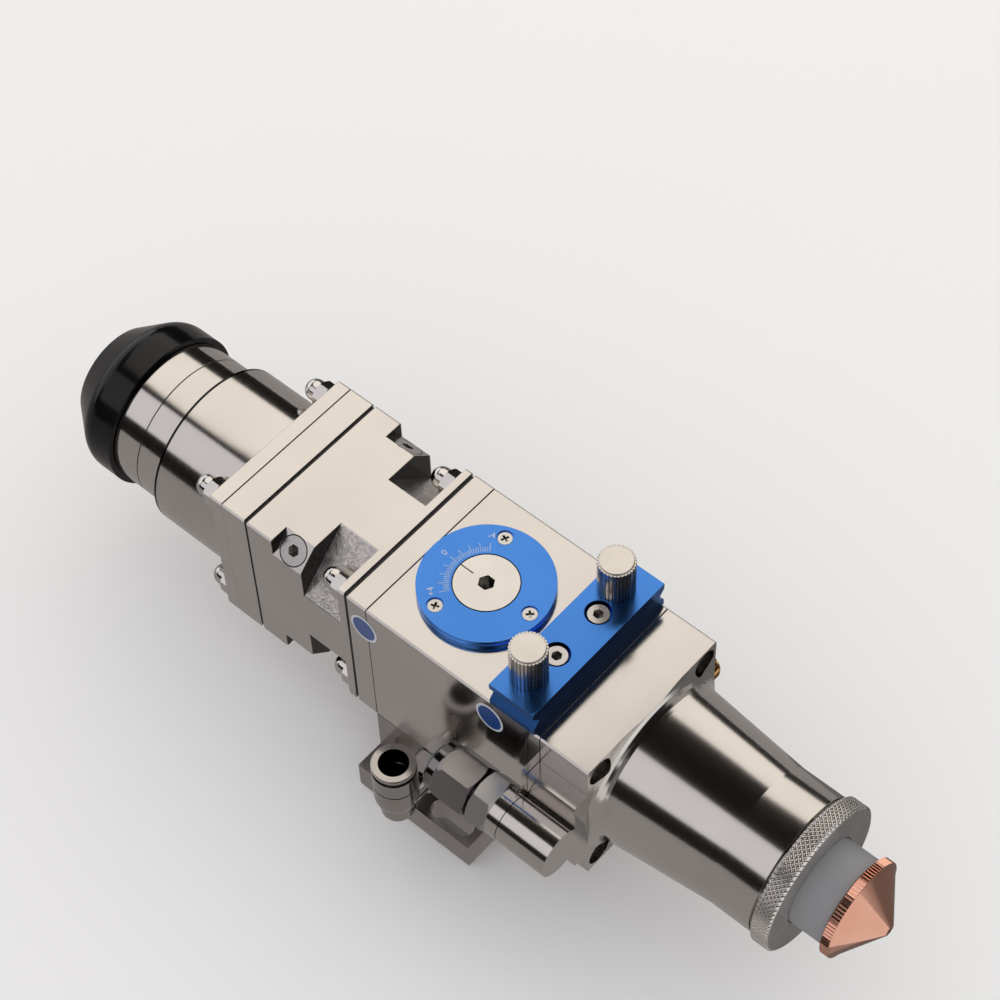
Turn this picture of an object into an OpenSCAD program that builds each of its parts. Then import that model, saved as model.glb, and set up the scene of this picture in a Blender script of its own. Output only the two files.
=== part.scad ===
// Laser cutting head lying on its mounting bracket.
// Beam along +X from the fibre socket to the nozzle, +Z up, origin under the centre of the bracket's slots.

/* [Square housing] */
// Width and height of the square housing
body_w = 50; // [48:0.5:56]
// Bevel along the long edges of the housing
edge_bevel = 0.5; // [0.2:0.1:0.8]
// Bevel round the ends of the housing's pieces, which shows at the seams
seam_bevel = 0.2; // [0.1:0.05:0.3]
// Length of the main body along the beam
main_l = 53.8; // [52:0.2:60]
// Thickness of the window plate
window_plate_t = 4.1; // [3:0.1:6]
// Thickness of the adapter plate
adapter_t = 6.7; // [5:0.1:9]
// Thickness of the joint between centring block and adapter plate
joint_t = 0.9; // [0.5:0.1:1.5]
// Thickness of the gasket under the centring cover
gasket_t = 0.8; // [0.5:0.1:1.5]
// How far the gaskets stay inside the housing's outline
gasket_inset = 0.5; // [0.2:0.1:1]
// Thickness of the centring cover
cover_t = 8.2; // [6:0.1:10]
// Thickness of the barrel's square flange
flange_t = 4.5; // [3.5:0.1:6]
// Radius of the beam's way through plates and covers
beam_r = 13; // [11:0.1:13.5]

/* [Studs and cap nuts] */
// Distance of the studs from the housing's sides
stud_in = 4.2; // [4:0.1:4.5]
// Radius of the studs
stud_r = 2; // [1.5:0.1:2.1]
// Depth of the studs in the piece that holds them
stud_depth = 8; // [6:0.5:8]
// Width across flats of a cap nut
cap_nut_af = 7; // [6:0.1:7.2]
// Height of the hexagon of a cap nut
cap_nut_hex_h = 3.4; // [3:0.1:4]
// Radius of the dome of a cap nut
cap_nut_dome_r = 3.1; // [2.9:0.05:3.2]
// Height of a cap nut
cap_nut_h = 8; // [7:0.1:9]

/* [Centring block] */
// Length of the centring block with its end flange
block_l = 34.5; // [34:0.1:40]
// Distance of the shallow corner cut from the block's fibre side
shallow_start = 8.9; // [8:0.1:9.5]
// Length of the shallow corner cut
shallow_l = 10; // [9.5:0.1:10]
// Leg of the shallow corner cut
shallow_leg = 6; // [5:0.1:7]
// Thickness of the end flange
end_flange_t = 2.4; // [2:0.1:3.5]
// Leg of the deep corner cut that makes the nut pockets
pocket_leg = 16; // [15:0.1:16.5]
// Room round the lens cell's foot in its chamber
chamber_room = 2; // [1.8:0.1:2.5]
// Depth of the lens chamber from the block's fibre side
chamber_l = 24.5; // [24:0.1:26]

/* [Centring mechanism] */
// Most that the lens cell can be moved off the axis
centring_travel = 1; // [0.5:0.1:1]
// Wall of the lens cell round its lens
cell_wall = 2; // [1.7:0.1:2.1]
// Length of the lens cell
cell_l = 18; // [16:0.5:19]
// How far the cell's foot stands out
cell_foot_w = 2; // [1.5:0.1:2.1]
// Thickness of the cell's foot
cell_foot_t = 3; // [2:0.1:4]
// Thickness of the washer that the cell slides on
washer_t = 1.5; // [1:0.1:2]
// Radius of the head of a centring screw
centring_head_r = 4; // [3.5:0.1:4.2]
// Height of the head of a centring screw
centring_head_h = 4; // [3:0.1:5]
// Radius of the shank of a centring screw
centring_shank_r = 2; // [1.5:0.1:2.5]
// Width across flats of the socket in a centring screw
centring_socket_af = 3; // [2.5:0.5:4]
// Depth of the socket in a centring screw
centring_socket_h = 3; // [2:0.1:3.2]

/* [Lenses] */
// Radius of both lenses
lens_r = 12.5; // [11.8:0.1:12.6]
// Thickness of a lens at its edge
lens_edge_t = 2.5; // [2:0.1:3]
// Height of the bulge on each lens face
lens_bulge = 1.2; // [0.6:0.1:1.8]
// Width of the lip that a lens rests on
lens_lip = 1; // [0.8:0.1:1.5]
// Thickness of a lens's retaining ring
retainer_t = 2.5; // [2:0.1:3]
// Width of a lens's retaining ring
retainer_w = 1.6; // [1.2:0.1:2]

/* [Fibre socket] */
// How far the collimator barrel stays inside the housing's outline
barrel_in = 0.7; // [0.4:0.1:1.5]
// Length of the collimator barrel
barrel_l = 25; // [20:0.5:35]
// Radius of the receiver sleeve and lock ring
sleeve_r = 21.8; // [21:0.1:22.6]
// Length of the receiver sleeve that shows
sleeve_l = 9; // [7:0.5:12]
// Length of the lock ring
lock_ring_l = 9; // [7:0.5:12]
// Radius of the neck that the lock ring turns on
neck_r = 17; // [16.5:0.1:18]
// Radius of the sleeve's plug in the barrel
plug_r = 18; // [17:0.1:19]
// Length of the sleeve's plug in the barrel
plug_l = 12; // [8:0.5:14]
// Width of the groove where the sleeve meets the barrel
groove_w = 1.2; // [0.8:0.1:1.6]
// Depth of that groove
groove_d = 2.5; // [1.5:0.1:2.8]
// Radius of the bore that takes the fibre's plug
fibre_bore_r = 12.5; // [11.5:0.1:13]
// Depth of that bore inside the barrel
fibre_bore_depth = 6; // [4:0.5:7]
// Radius of the nose that the dust cap sits on
nose_ring_r = 15.2; // [14.8:0.1:15.5]
// Length of that nose
nose_ring_l = 8; // [6:0.5:10]

/* [Dust cap] */
// Radius of the cap
cap_r = 23.5; // [22.5:0.1:24.5]
// Radius of the cap's closed end
cap_end_r = 15.5; // [14:0.1:17]
// Length of the cap
cap_l = 19.9; // [19:0.1:24]
// Length of the tapered part of the cap
cap_taper_l = 10.5; // [9:0.1:12]
// Rounding of the cap's shoulders
cap_round_r = 7; // [4:0.5:8]
// Wall of the cap's end
cap_wall = 4.5; // [3.5:0.1:5]

/* [Focus dial] */
// Distance of the dial from the main body's fibre side
dial_x_from_body = 18.9; // [18.6:0.1:20]
// Radius of the scale ring
scale_r = 18; // [17.5:0.1:18.3]
// Thickness of the scale ring
scale_t = 2.5; // [2.2:0.1:3.2]
// Depth of the groove round the scale ring's edge
scale_groove = 0.5; // [0.3:0.1:0.8]
// Radius of the knob's face
knob_face_r = 8.6; // [8:0.1:9]
// Radius of the knob's hidden flange
knob_flange_r = 10.6; // [10.3:0.1:11]
// Thickness of the knob's hidden flange
knob_flange_t = 1.8; // [1.5:0.1:2.2]
// Radius of the knob's shaft
knob_shaft_r = 7.2; // [7:0.1:7.6]
// Offset of the eccentric pin from the knob's axis
pin_offset = 4.94; // [4.5:0.02:5]
// Radius of the eccentric pin
pin_r = 1.5; // [1.3:0.1:1.6]
// Depth of the eccentric pin below the knob's shaft
pin_l = 3.1; // [2.8:0.1:3.2]
// Largest turn of the knob to each side that the holder's slot allows
pin_sweep = 55; // [45:1:60]
// Room beside the pin in the holder's slot
pin_room = 0.6; // [0.55:0.05:0.8]
// Width across flats of the knob's socket
knob_socket_af = 4; // [3:0.5:5]
// Depth of the knob's socket
knob_socket_h = 5; // [3:0.1:6]
// Width of the index line on the knob
index_w = 0.3; // [0.2:0.05:0.5]
// Depth of the index line on the knob
index_d = 0.3; // [0.2:0.1:0.5]
// Distance of the index line's inner end from the knob's axis
index_start = 4.4; // [3.5:0.1:5]
// Angle between the first scale ring screw and the two others
scale_screw_angle = 112; // [105:1:120]
// Radius of the circle of the scale ring's screws
scale_screw_circle_r = 14.5; // [14:0.1:14.8]
// Radius of the head of a scale ring screw
scale_screw_head_r = 2; // [1.9:0.1:2.3]
// Depth of those heads below the ring's face
scale_screw_sink = 0.3; // [0.2:0.1:0.5]
// Radius of the shank of a scale ring screw
scale_screw_r = 1.2; // [1:0.1:1.4]
// Length of the cross recess in a scale ring screw
cross_l = 2.2; // [1.8:0.1:2.3]
// Width of the cross recess
cross_w = 0.6; // [0.5:0.1:0.8]
// Depth of the cross recess
cross_h = 0.9; // [0.6:0.1:1]
// Length of a scale ring screw under the ring
scale_screw_depth = 4; // [3:0.1:5]

/* [Focus lens holder] */
// Wall of the holder round its lens
holder_wall = 3.95; // [3.7:0.05:4.2]
// Length of the holder
holder_l = 24; // [22:0.5:25]
// Length of the bore behind the holder's travel
focus_bore_l = 41; // [38:0.5:41.5]

/* [Window drawer] */
// Thickness of the drawer's tray along the beam
tray_t = 9.2; // [8.6:0.1:9.6]
// Half the width of the tray, and the radius of its round end
tray_r = 13.8; // [13.2:0.1:14]
// Radius of the protective window
window_r = 11.1; // [10.5:0.1:11.4]
// Thickness of the protective window
window_t = 4; // [3:0.1:4.2]
// Thickness of the window's seal
window_seal_t = 1; // [0.8:0.1:1.2]
// Thickness of the window's retaining ring
window_ring_t = 1.8; // [1.4:0.1:2]
// Width of the window's lip, seal and retaining ring
window_lip = 1.3; // [1:0.1:1.6]
// Width of the drawer bar along the beam
bar_w = 14.2; // [13:0.1:15]
// How far the drawer bar stands out past the housing's sides
bar_over = 0.2; // [0.1:0.1:1]
// Height of the drawer bar
bar_h = 9; // [8:0.1:11]
// Depth of the finger grooves in the bar's ends
finger_d = 2.2; // [1.5:0.1:3]
// Height of the plain edges above and below a finger groove
finger_lip = 2; // [1.5:0.1:3]
// Distance of the bar's socket screws from the middle
bar_screw_y = 8; // [7:0.1:8.6]
// Radius of the bar's socket screw heads
bar_screw_head_r = 2.85; // [2.5:0.05:3]
// Height of the bar's socket screw heads
bar_screw_head_h = 3; // [2.5:0.1:3.5]
// Radius of the counterbores for those heads
bar_screw_recess_r = 3.6; // [3.4:0.1:3.8]
// Depth of the heads below the bar's top
bar_screw_sink = 0.6; // [0.3:0.1:1]
// Radius of the bar's socket screw shanks
bar_screw_r = 1.5; // [1.2:0.1:1.8]
// Depth of the bar's socket screws in the tray
bar_screw_depth = 8; // [6:0.5:9]
// Width across flats of the sockets in the bar's screws
bar_screw_socket_af = 2.5; // [2:0.1:3]

/* [Thumb screws] */
// Distance of the thumb screws from the housing's sides
thumb_in = 8.3; // [7.5:0.1:8.5]
// Distance of the thumb screws from the bar's centre line, towards the fibre
thumb_x = 1.5; // [0.5:0.1:2]
// Radius of a thumb screw's head
thumb_r = 4.95; // [4.5:0.05:5.4]
// Height of a thumb screw's head
thumb_h = 11.9; // [10:0.1:13]
// Number of slots round the head
thumb_slots = 32; // [24:1:36]
// Depth of the slots
thumb_slot_d = 0.4; // [0.3:0.05:0.6]
// Share of the head's rim that stands between the slots
thumb_rib_share = 0.55; // [0.4:0.05:0.7]
// Height of the rounded turned top of the head
thumb_crown_h = 0.3; // [0.2:0.1:0.6]
// Step from the bottom of the slots in to the turned top
thumb_crown_step = 0.05; // [0.05:0.05:0.2]
// Radius of a thumb screw's shank
thumb_shank_r = 1.5; // [1.2:0.1:1.6]
// Depth of a thumb screw in the main body
thumb_depth = 8; // [6:0.5:10]

/* [Nozzle body] */
// Length of the square end of the nozzle body
end_block_l = 15.4; // [15:0.1:18]
// How far the cone starts inside the housing's outline
cone_in = 1.8; // [1.4:0.1:2.5]
// Radius of the collar at the cone's narrow end
collar_r = 20.2; // [19.5:0.1:21]
// Length of the cone
cone_l = 34.1; // [30:0.1:45]
// Length of the collar
collar_l = 13.5; // [10:0.1:18]
// Radius of the fillet between square end and cone
cone_fillet = 4; // [3:0.1:4.5]
// Width of the groove in front of the retaining nut
collar_groove_w = 0.6; // [0.4:0.1:1]
// Depth of that groove
collar_groove_d = 1.2; // [0.8:0.1:1.6]
// Radius of the threaded nose under the retaining nut
nose_r = 17.5; // [17:0.1:18]
// Length of the threaded nose
nose_l = 2.6; // [2.2:0.1:3.2]
// Radius of the gas chamber at the window side
chamber_in_r = 11; // [10:0.1:11.4]
// Radius of the gas chamber at the nozzle side
chamber_out_r = 9; // [8:0.1:10]
// Distance of the nozzle body's screws from the housing's sides
end_screw_in = 4.6; // [4.4:0.1:4.8]
// Radius of the holes for the screw heads
end_screw_recess_r = 3.9; // [3.7:0.1:4]
// Depth of the holes for the screw heads
end_screw_recess_l = 9; // [7:0.5:10]
// Radius of the heads of the nozzle body's screws
end_screw_head_r = 3.5; // [3.2:0.1:3.6]
// Height of the heads of the nozzle body's screws
end_screw_head_h = 4; // [3:0.1:5]
// Radius of the shanks of the nozzle body's screws
end_screw_r = 2; // [1.5:0.1:2.2]
// Depth of the nozzle body's screws in the main body
end_screw_depth = 4.4; // [4:0.1:4.5]
// Width across flats of the sockets in the nozzle body's screws
end_screw_socket_af = 3; // [2.5:0.5:3.5]

/* [Gas inlet] */
// Thickness of the boss on the housing's side
boss_t = 5; // [4:0.1:6]
// Height of the boss
boss_h = 29; // [26:0.5:32]
// Length of the boss along the beam
boss_l = 17.2; // [16:0.1:19]
// Distance of the gas pipe's axis from the housing's side
gas_axis_out = 10.5; // [10:0.1:11.5]
// Radius of the round gas pipe on the boss
gas_pipe_r = 7.1; // [6.6:0.1:7.4]
// Length of the round gas pipe
gas_pipe_l = 19.2; // [17:0.1:21]
// Radius of the threaded socket in the gas pipe
gas_socket_r = 4.4; // [4:0.1:4.8]
// Depth of the threaded socket in the gas pipe
gas_socket_l = 8; // [6:0.5:10]
// Radius of the gas channel
gas_channel_r = 2.6; // [2:0.1:3]
// Width across flats of the gas fitting
gas_fitting_af = 14; // [13:0.5:15]
// Length of the fitting's nut
gas_nut_l = 6.2; // [5:0.1:8]
// Length of the fitting's body
gas_body_l = 14; // [12:0.5:18]
// How far the fitting's round tube end stays inside the flats
gas_round_in = 0.15; // [0.1:0.05:0.3]
// Length of the round tube end
gas_round_l = 2.8; // [2:0.1:3.5]
// Length of the shoulder from the round end to the hexagon
gas_shoulder_l = 2; // [1.5:0.1:3]
// Bevel of the round tube end
gas_bevel = 0.6; // [0.3:0.1:0.7]
// Length of the neck between nut and body
gas_neck_l = 0.8; // [0.5:0.1:1.2]

/* [Push-in tubes] */
// Radius of the tube that a fitting takes
tube_r = 4; // [3.8:0.05:4.1]
// Clearance round the tube
tube_clear = 0.05; // [0.03:0.01:0.1]
// Depth of the tube in a fitting
tube_depth = 12; // [11:0.5:12.5]
// Wall of a release collar
collar_wall = 0.7; // [0.5:0.05:0.8]
// Depth of a release collar in its fitting
collar_depth = 4; // [3:0.1:5]
// Thickness of a release collar's rim
collar_rim_t = 1.2; // [0.8:0.1:1.6]
// Travel of a release collar
collar_travel = 1; // [0.6:0.1:1]
// How far the gas fitting's release collar stands out of its mouth
collar_proud = 0.6; // [0.4:0.1:0.8]

/* [Elbow fitting] */
// Distance of the elbow's axis from the housing's side
elbow_out = 14; // [13.5:0.1:16]
// Height of the elbow's stem above the mounting face
elbow_stem_z = 20.2; // [19.6:0.1:20.6]
// Height of the elbow's upper end above its stem
elbow_up = 16.6; // [16:0.1:18]
// Depth of the elbow's lower end below its stem
elbow_down = 4.4; // [4.2:0.1:5]
// Radius of the elbow's upper sleeve
elbow_sleeve_r = 6.1; // [5.9:0.1:6.3]
// Length of the elbow's upper sleeve
elbow_sleeve_l = 11.6; // [11:0.1:11.8]
// Distance of the sleeve's groove from the elbow's upper end
elbow_groove_at = 5.6; // [5:0.1:6.5]
// Width of that groove
elbow_groove_w = 0.5; // [0.3:0.1:0.7]
// Depth of that groove
elbow_groove_d = 0.4; // [0.2:0.1:0.5]
// Radius of the elbow's neck towards the housing
elbow_neck_r = 4.2; // [3.9:0.1:4.3]
// Radius of the elbow's lower part
elbow_low_r = 4.6; // [4.4:0.1:4.9]
// Height of the bowl between sleeve and lower part
elbow_bowl_h = 4.8; // [4.2:0.1:5]
// Bevel of the elbow's foot
elbow_bevel = 0.8; // [0.5:0.1:1]
// Number of serrations round the rim of the elbow's release collar
elbow_rim_teeth = 60; // [40:2:72]
// Depth of those serrations
elbow_rim_tooth_d = 0.15; // [0.1:0.05:0.25]
// Width across flats of the stem's hexagon
stem_af = 10; // [9:0.5:11]
// Length of the stem's hexagon
stem_hex_l = 6; // [5:0.1:7]
// Radius of the stem's round end inside the elbow
stem_r = 3; // [2.6:0.1:3.2]
// Depth of the stem in the bracket
stem_depth = 8; // [6:0.5:10]
// Radius of the channel through the stem
stem_channel_r = 1.6; // [1.2:0.1:1.9]

/* [Sensor connector] */
// Radius of the connector's fluted shell
plug_shell_r = 5.2; // [4.6:0.1:6]
// Number of flutes round the connector's shell
plug_flutes = 30; // [20:1:40]
// Depth of those flutes
plug_flute_d = 0.25; // [0.15:0.05:0.35]
// Length of the connector outside the housing
plug_shell_l = 7; // [6:0.1:10]
// Thickness of the connector's seat
plug_seat_t = 1.4; // [1:0.1:2]
// Radius of the connector's opening
plug_bore_r = 3.2; // [2.6:0.1:3.6]
// Radius of the connector's stem in the housing
plug_stem_r = 3.4; // [3:0.1:3.8]
// Length of the connector's stem in the housing
plug_stem_l = 6; // [4:0.5:8]
// Radius of the connector's centre pin
plug_pin_r = 0.6; // [0.4:0.05:0.8]

/* [Nozzle end] */
// Radius of the retaining nut
nut_r = 21.5; // [20.5:0.1:22.5]
// Length of the retaining nut
nut_l = 5.4; // [5:0.1:7]
// Bevel of the retaining nut's rims
nut_bevel = 0.5; // [0.3:0.1:0.8]
// Radius of the ceramic ring's flange
ceramic_flange_r = 16.8; // [16:0.1:16.9]
// Thickness of the ceramic ring's flange
ceramic_flange_t = 1.5; // [1.2:0.1:1.6]
// Radius of the ceramic ring
ceramic_r = 12.5; // [11.5:0.1:13]
// Length of the ceramic ring outside the retaining nut
ceramic_out_l = 9.9; // [8:0.1:12]
// Length of the ceramic ring's thread
ceramic_thread_l = 8; // [6:0.5:9]
// Radius of the ceramic ring's inner space
ceramic_in_r = 8.5; // [7:0.1:9]
// Radius of the nozzle
nozzle_r = 14.1; // [13:0.1:15]
// Width of the nozzle's serrated rim
nozzle_rim_t = 2.9; // [2:0.1:4]
// Width of the neck between ceramic ring and serrated rim
nozzle_neck_l = 0.5; // [0.3:0.1:0.8]
// Depth of that neck below the rim
nozzle_neck_d = 2; // [1:0.1:3]
// Length of the nozzle's cone
nozzle_cone_l = 8.3; // [7:0.1:10]
// Radius of the flat at the nozzle's tip
nozzle_tip_r = 1.6; // [1.2:0.1:2]
// Radius of the nozzle's orifice
orifice_r = 0.75; // [0.4:0.05:1]
// Radius of the nozzle's stem
nozzle_stem_r = 5.5; // [5:0.1:6]
// Length of the nozzle's stem
nozzle_stem_l = 7.5; // [5:0.5:7.5]
// Radius of the nozzle's inner funnel
nozzle_in_r = 3.6; // [3:0.1:4]
// Number of serrations round the nozzle's rim
nozzle_teeth = 90; // [60:2:100]
// Depth of the serrations
nozzle_tooth_d = 0.25; // [0.15:0.05:0.35]

/* [Mounting bracket] */
// Length of the bracket along the beam
bracket_l = 39.5; // [39:0.5:42]
// Height of the bracket
bracket_h = 25; // [24:0.5:28]
// Thickness of the bracket's feet
foot_t = 9.6; // [8:0.1:10]
// How far the feet stand out past the housing
foot_out = 8.9; // [8.5:0.1:11]
// Distance between slot centres along the beam
slot_spacing_x = 21; // [20:0.5:22]
// Distance of a slot's centre from the housing's side
slot_out = 4.7; // [4.4:0.1:5]
// Length of a slot from end to end
slot_l = 14; // [12:0.5:14.5]
// Width of a slot
slot_w = 5.6; // [5:0.1:5.8]
// Half the distance between bracket screws along the beam
bracket_screw_x = 13; // [11:0.5:14]
// Distance of the bracket screws from the housing's sides
bracket_screw_in = 10; // [9.5:0.1:11]
// Radius of the bracket screws' heads
bracket_screw_head_r = 4; // [3.5:0.1:4.3]
// Height of the bracket screws' heads
bracket_screw_head_h = 5; // [4:0.1:6]
// Depth of the recesses for the bracket screws' heads
bracket_recess_l = 12; // [7:0.5:14]
// Radius of the bracket screws' shanks
bracket_screw_r = 2.5; // [2:0.1:2.6]
// Depth of the bracket screws in the main body
bracket_screw_depth = 7; // [5:0.5:8]
// Width across flats of the sockets in the bracket screws
bracket_socket_af = 4; // [3:0.5:4.5]

/* [Clearances] */
// Radial clearance of turning and sliding fits
fit_clear = 0.05; // [0.03:0.01:0.08]
// Radial clearance of fixed fits
seat_clear = 0.03; // [0.02:0.01:0.05]
// Clearance of the drawer's tray in its slot
drawer_clear = 0.15; // [0.1:0.05:0.2]
// Gap above and below the knob's hidden flange
knob_gap = 0.1; // [0.05:0.05:0.2]
// Gap between pieces that move past each other
move_gap = 0.3; // [0.25:0.05:0.4]
// Radial clearance of screws in through holes
screw_clear = 0.1; // [0.06:0.02:0.2]

/* [Hidden] */
$fn = 96;
overlap = 1;
socket_share = 0.75;
half_w = body_w / 2;
stud_offset = half_w - stud_in;
end_screw_offset = half_w - end_screw_in;
bracket_screw_y = half_w - bracket_screw_in;
barrel_r = half_w - barrel_in;
cone_r = half_w - cone_in;
bar_l = body_w + 2 * bar_over;
thumb_y = half_w - thumb_in;
axis_z = bracket_h + half_w;
top_z = axis_z + half_w;

// Stations along the beam
main_x0 = -bracket_l / 2;
main_x1 = main_x0 + main_l;
end_x0 = main_x1 + window_plate_t;
end_x1 = end_x0 + end_block_l;
cone_x1 = end_x1 + cone_l;
collar_x1 = cone_x1 + collar_l;
nose_x1 = collar_x1 + nose_l;
nut_x0 = collar_x1 + move_gap;
nut_x1 = nut_x0 + nut_l;
ceramic_x1 = nut_x1 + ceramic_out_l;
nozzle_x1 = ceramic_x1 + nozzle_rim_t;
tip_x = nozzle_x1 + nozzle_cone_l;
adapter_x0 = main_x0 - adapter_t;
block_x1 = adapter_x0 - joint_t;
block_x0 = block_x1 - block_l;
cover_x1 = block_x0 - gasket_t;
cover_x0 = cover_x1 - cover_t;
flange_x0 = cover_x0 - flange_t;
barrel_x0 = flange_x0 - barrel_l;
sleeve_x0 = barrel_x0 - sleeve_l;
ring_x0 = sleeve_x0 - lock_ring_l;
cap_x1 = ring_x0 - move_gap;
cap_x0 = cap_x1 - cap_l;

// Centring mechanism
shallow_x0 = block_x0 + shallow_start;
pocket_x0 = shallow_x0 + shallow_l;
pocket_x1 = block_x1 - end_flange_t;
centring_x = shallow_x0 + shallow_l / 2;
shallow_face = (body_w - shallow_leg) / sqrt(2);
chamber_x1 = block_x0 + chamber_l;
washer_x0 = chamber_x1 - washer_t;
cell_x0 = washer_x0 - cell_l;
tip_room = centring_travel + move_gap;
cell_r = lens_r + cell_wall;
cell_foot_r = cell_r + cell_foot_w;
chamber_r = cell_foot_r + chamber_room;

// Room that a lens's bulge needs at its retaining ring and at its lip
ring_sag = lens_bulge * (1 - pow(1 - retainer_w / lens_r, 2)) + fit_clear;
lip_sag = lens_bulge * (1 - pow(1 - lens_lip / lens_r, 2)) + fit_clear;
cell_lens_x0 = cell_x0 + retainer_t + move_gap + ring_sag;

// Focus dial
dial_x = main_x0 + dial_x_from_body;
scale_z1 = top_z + scale_t;
scale_head_z = scale_z1 - scale_screw_sink;
countersink_h = scale_screw_head_r - scale_screw_r;
knob_recess_t = knob_flange_t + 2 * knob_gap;
holder_r = lens_r + holder_wall;
focus_bore_r = holder_r + fit_clear;
knob_shaft_z0 = axis_z + focus_bore_r + move_gap;
pin_z0 = knob_shaft_z0 - pin_l;
holder_x0 = dial_x - holder_l / 2;
holder_lens_x0 = holder_x0 + holder_l - retainer_t - move_gap - ring_sag - lens_edge_t;

// Window drawer
slot_x0 = main_x1 - tray_t - 2 * drawer_clear;
tray_x0 = main_x1 - drawer_clear - tray_t;
tray_x = tray_x0 + tray_t / 2;
bar_z1 = top_z + bar_h;
bar_screw_seat_z = bar_z1 - bar_screw_sink - bar_screw_head_h;
window_pocket_l = window_seal_t + window_t + window_ring_t + drawer_clear;
window_pocket_x1 = tray_x0 + window_pocket_l;
thumb_place_x = tray_x - thumb_x;

// Gas inlet and fittings
gas_y = -half_w - gas_axis_out;
pipe_x0 = end_x1 - gas_pipe_l;
gas_nut_x0 = pipe_x0 - gas_nut_l;
gas_body_x1 = gas_nut_x0 - gas_neck_l;
gas_body_x0 = gas_body_x1 - gas_body_l;
end_mid_x = end_x0 + end_block_l / 2;
tube_bore_r = tube_r + tube_clear;
release_r = tube_bore_r + collar_wall;
release_hole_r = release_r + fit_clear;
gas_rim_r = release_r + collar_wall / 2;
elbow_y = -half_w - elbow_out;
elbow_top_z = elbow_stem_z + elbow_up;
stem_hex_y = -half_w - stem_hex_l;
slot_y = half_w + slot_out;
end_screw_seat_x = end_x1 - end_screw_recess_l;

nickel = [0.78, 0.75, 0.72];
bright_nickel = [0.84, 0.82, 0.80];
anodised_blue = [0.13, 0.36, 0.80];
black_plastic = [0.05, 0.05, 0.05];
dark_joint = [0.12, 0.11, 0.10];
dark_metal = [0.28, 0.29, 0.31];
screw_steel = [0.70, 0.70, 0.70];
lens_glass = [0.75, 0.88, 0.92, 0.5];
copper = [0.80, 0.50, 0.38];
ceramic_white = [0.90, 0.90, 0.88];
gold = [0.80, 0.62, 0.28];
release_green = [0.05, 0.50, 0.35];

// Points of an arc in the plane of a profile
function arc(centre, r, from, to, steps = 6) =
    [for (i = [0:steps]) let (a = from + (to - from) * i / steps) centre + r * [cos(a), sin(a)]];

// Star outline for flutes and serrations
function fluted(r, depth, count) =
    [for (i = [0:2 * count - 1]) let (a = 180 * i / count, q = r - depth * (i % 2)) q * [cos(a), sin(a)]];

// Round outline with flat ribs between narrow slots
function slotted(r, depth, count, rib_share) = [
    for (i = [0:count - 1], corner = [[-rib_share / 2, r], [rib_share / 2, r], [0.5, r - depth]])
        let (a = 360 / count * (i + corner[0]))
            corner[1] * [cos(a), sin(a)]
];

// Circumscribed radius of a hexagon of the given width across flats
function hex_r(af) = af / sqrt(3);

// Places its children on the beam axis at a station
module at_beam(x) {
    translate([x, 0, axis_z]) children();
}

// Turns a piece that was drawn along +Z to lie along the beam
module along_beam(x) {
    at_beam(x) rotate([0, 90, 0]) children();
}

// Body of revolution about the beam axis, from radius and station pairs
module turned(profile) {
    along_beam(0) rotate_extrude() polygon(profile);
}

// Round hole or rod along the beam axis
module beam_rod(x0, x1, r) {
    along_beam(x0) cylinder(h = x1 - x0, r = r);
}

// Rectangle of half sizes u and v with its corners cut
function cut_corners(u, v, cut) = [
    [u - cut, -v], [u, cut - v], [u, v - cut], [u - cut, v],
    [cut - u, v], [-u, v - cut], [-u, cut - v], [cut - u, -v]
];

// Square prism along the beam with beveled long edges
module square_prism(x0, x1, inset = 0) {
    s = half_w - inset;
    along_beam(x0) linear_extrude(x1 - x0) polygon(cut_corners(s, s, edge_bevel));
}

// Square plate of the housing, its ends beveled too
module housing_plate(x0, x1) {
    side = cut_corners((x1 - x0) / 2, half_w, seam_bevel);
    intersection() {
        square_prism(x0, x1);
        at_beam((x0 + x1) / 2) translate([0, 0, -body_w]) linear_extrude(2 * body_w) polygon(side);
        at_beam((x0 + x1) / 2) translate([0, body_w, 0]) rotate([90, 0, 0])
            linear_extrude(2 * body_w) polygon(side);
    }
}

// Repeats its children at the four corners round the beam axis
module at_corners(x, offset) {
    for (side = [-1, 1], height = [-1, 1])
        translate([x, side * offset, axis_z + height * offset]) rotate([0, 90, 0]) children();
}

// Places its children on a 45 degree corner direction, with +Z pointing outwards
module at_corner_face(x, angle) {
    at_beam(x) rotate([angle, 0, 0]) children();
}

// Hexagonal prism along +Z
module hex_prism(af, h) {
    cylinder(h = h, r = hex_r(af), $fn = 6);
}

// Hexagonal prism with both ends rounded off by a turned bevel
module hex_nut(af, h) {
    bevel = (hex_r(af) - af / 2) / sqrt(3);
    r = hex_r(af);
    intersection() {
        hex_prism(af, h);
        rotate_extrude()
            polygon([[0, 0], [af / 2, 0], [r, bevel], [r, h - bevel], [af / 2, h], [0, h]]);
    }
}

// Socket head screw along +Z, head downwards at zero, shank upwards
module socket_screw(head_r, head_h, shank_r, shank_l, socket_af) {
    difference() {
        union() {
            cylinder(h = head_h, r = head_r);
            translate([0, 0, head_h - overlap]) cylinder(h = shank_l + overlap, r = shank_r);
        }
        translate([0, 0, -overlap]) hex_prism(socket_af, overlap + head_h * socket_share);
    }
}

// Biconvex lens between two stations of its rim
module lens(x0) {
    r = lens_r - seat_clear;
    dome_r = (r * r + lens_bulge * lens_bulge) / (2 * lens_bulge);
    half_angle = asin(r / dome_r);
    back = arc([0, x0 - lens_bulge + dome_r], dome_r, 270, 270 + half_angle);
    front = arc([0, x0 + lens_edge_t + lens_bulge - dome_r], dome_r, 90 - half_angle, 90);
    turned(concat(back, front));
}

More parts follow.
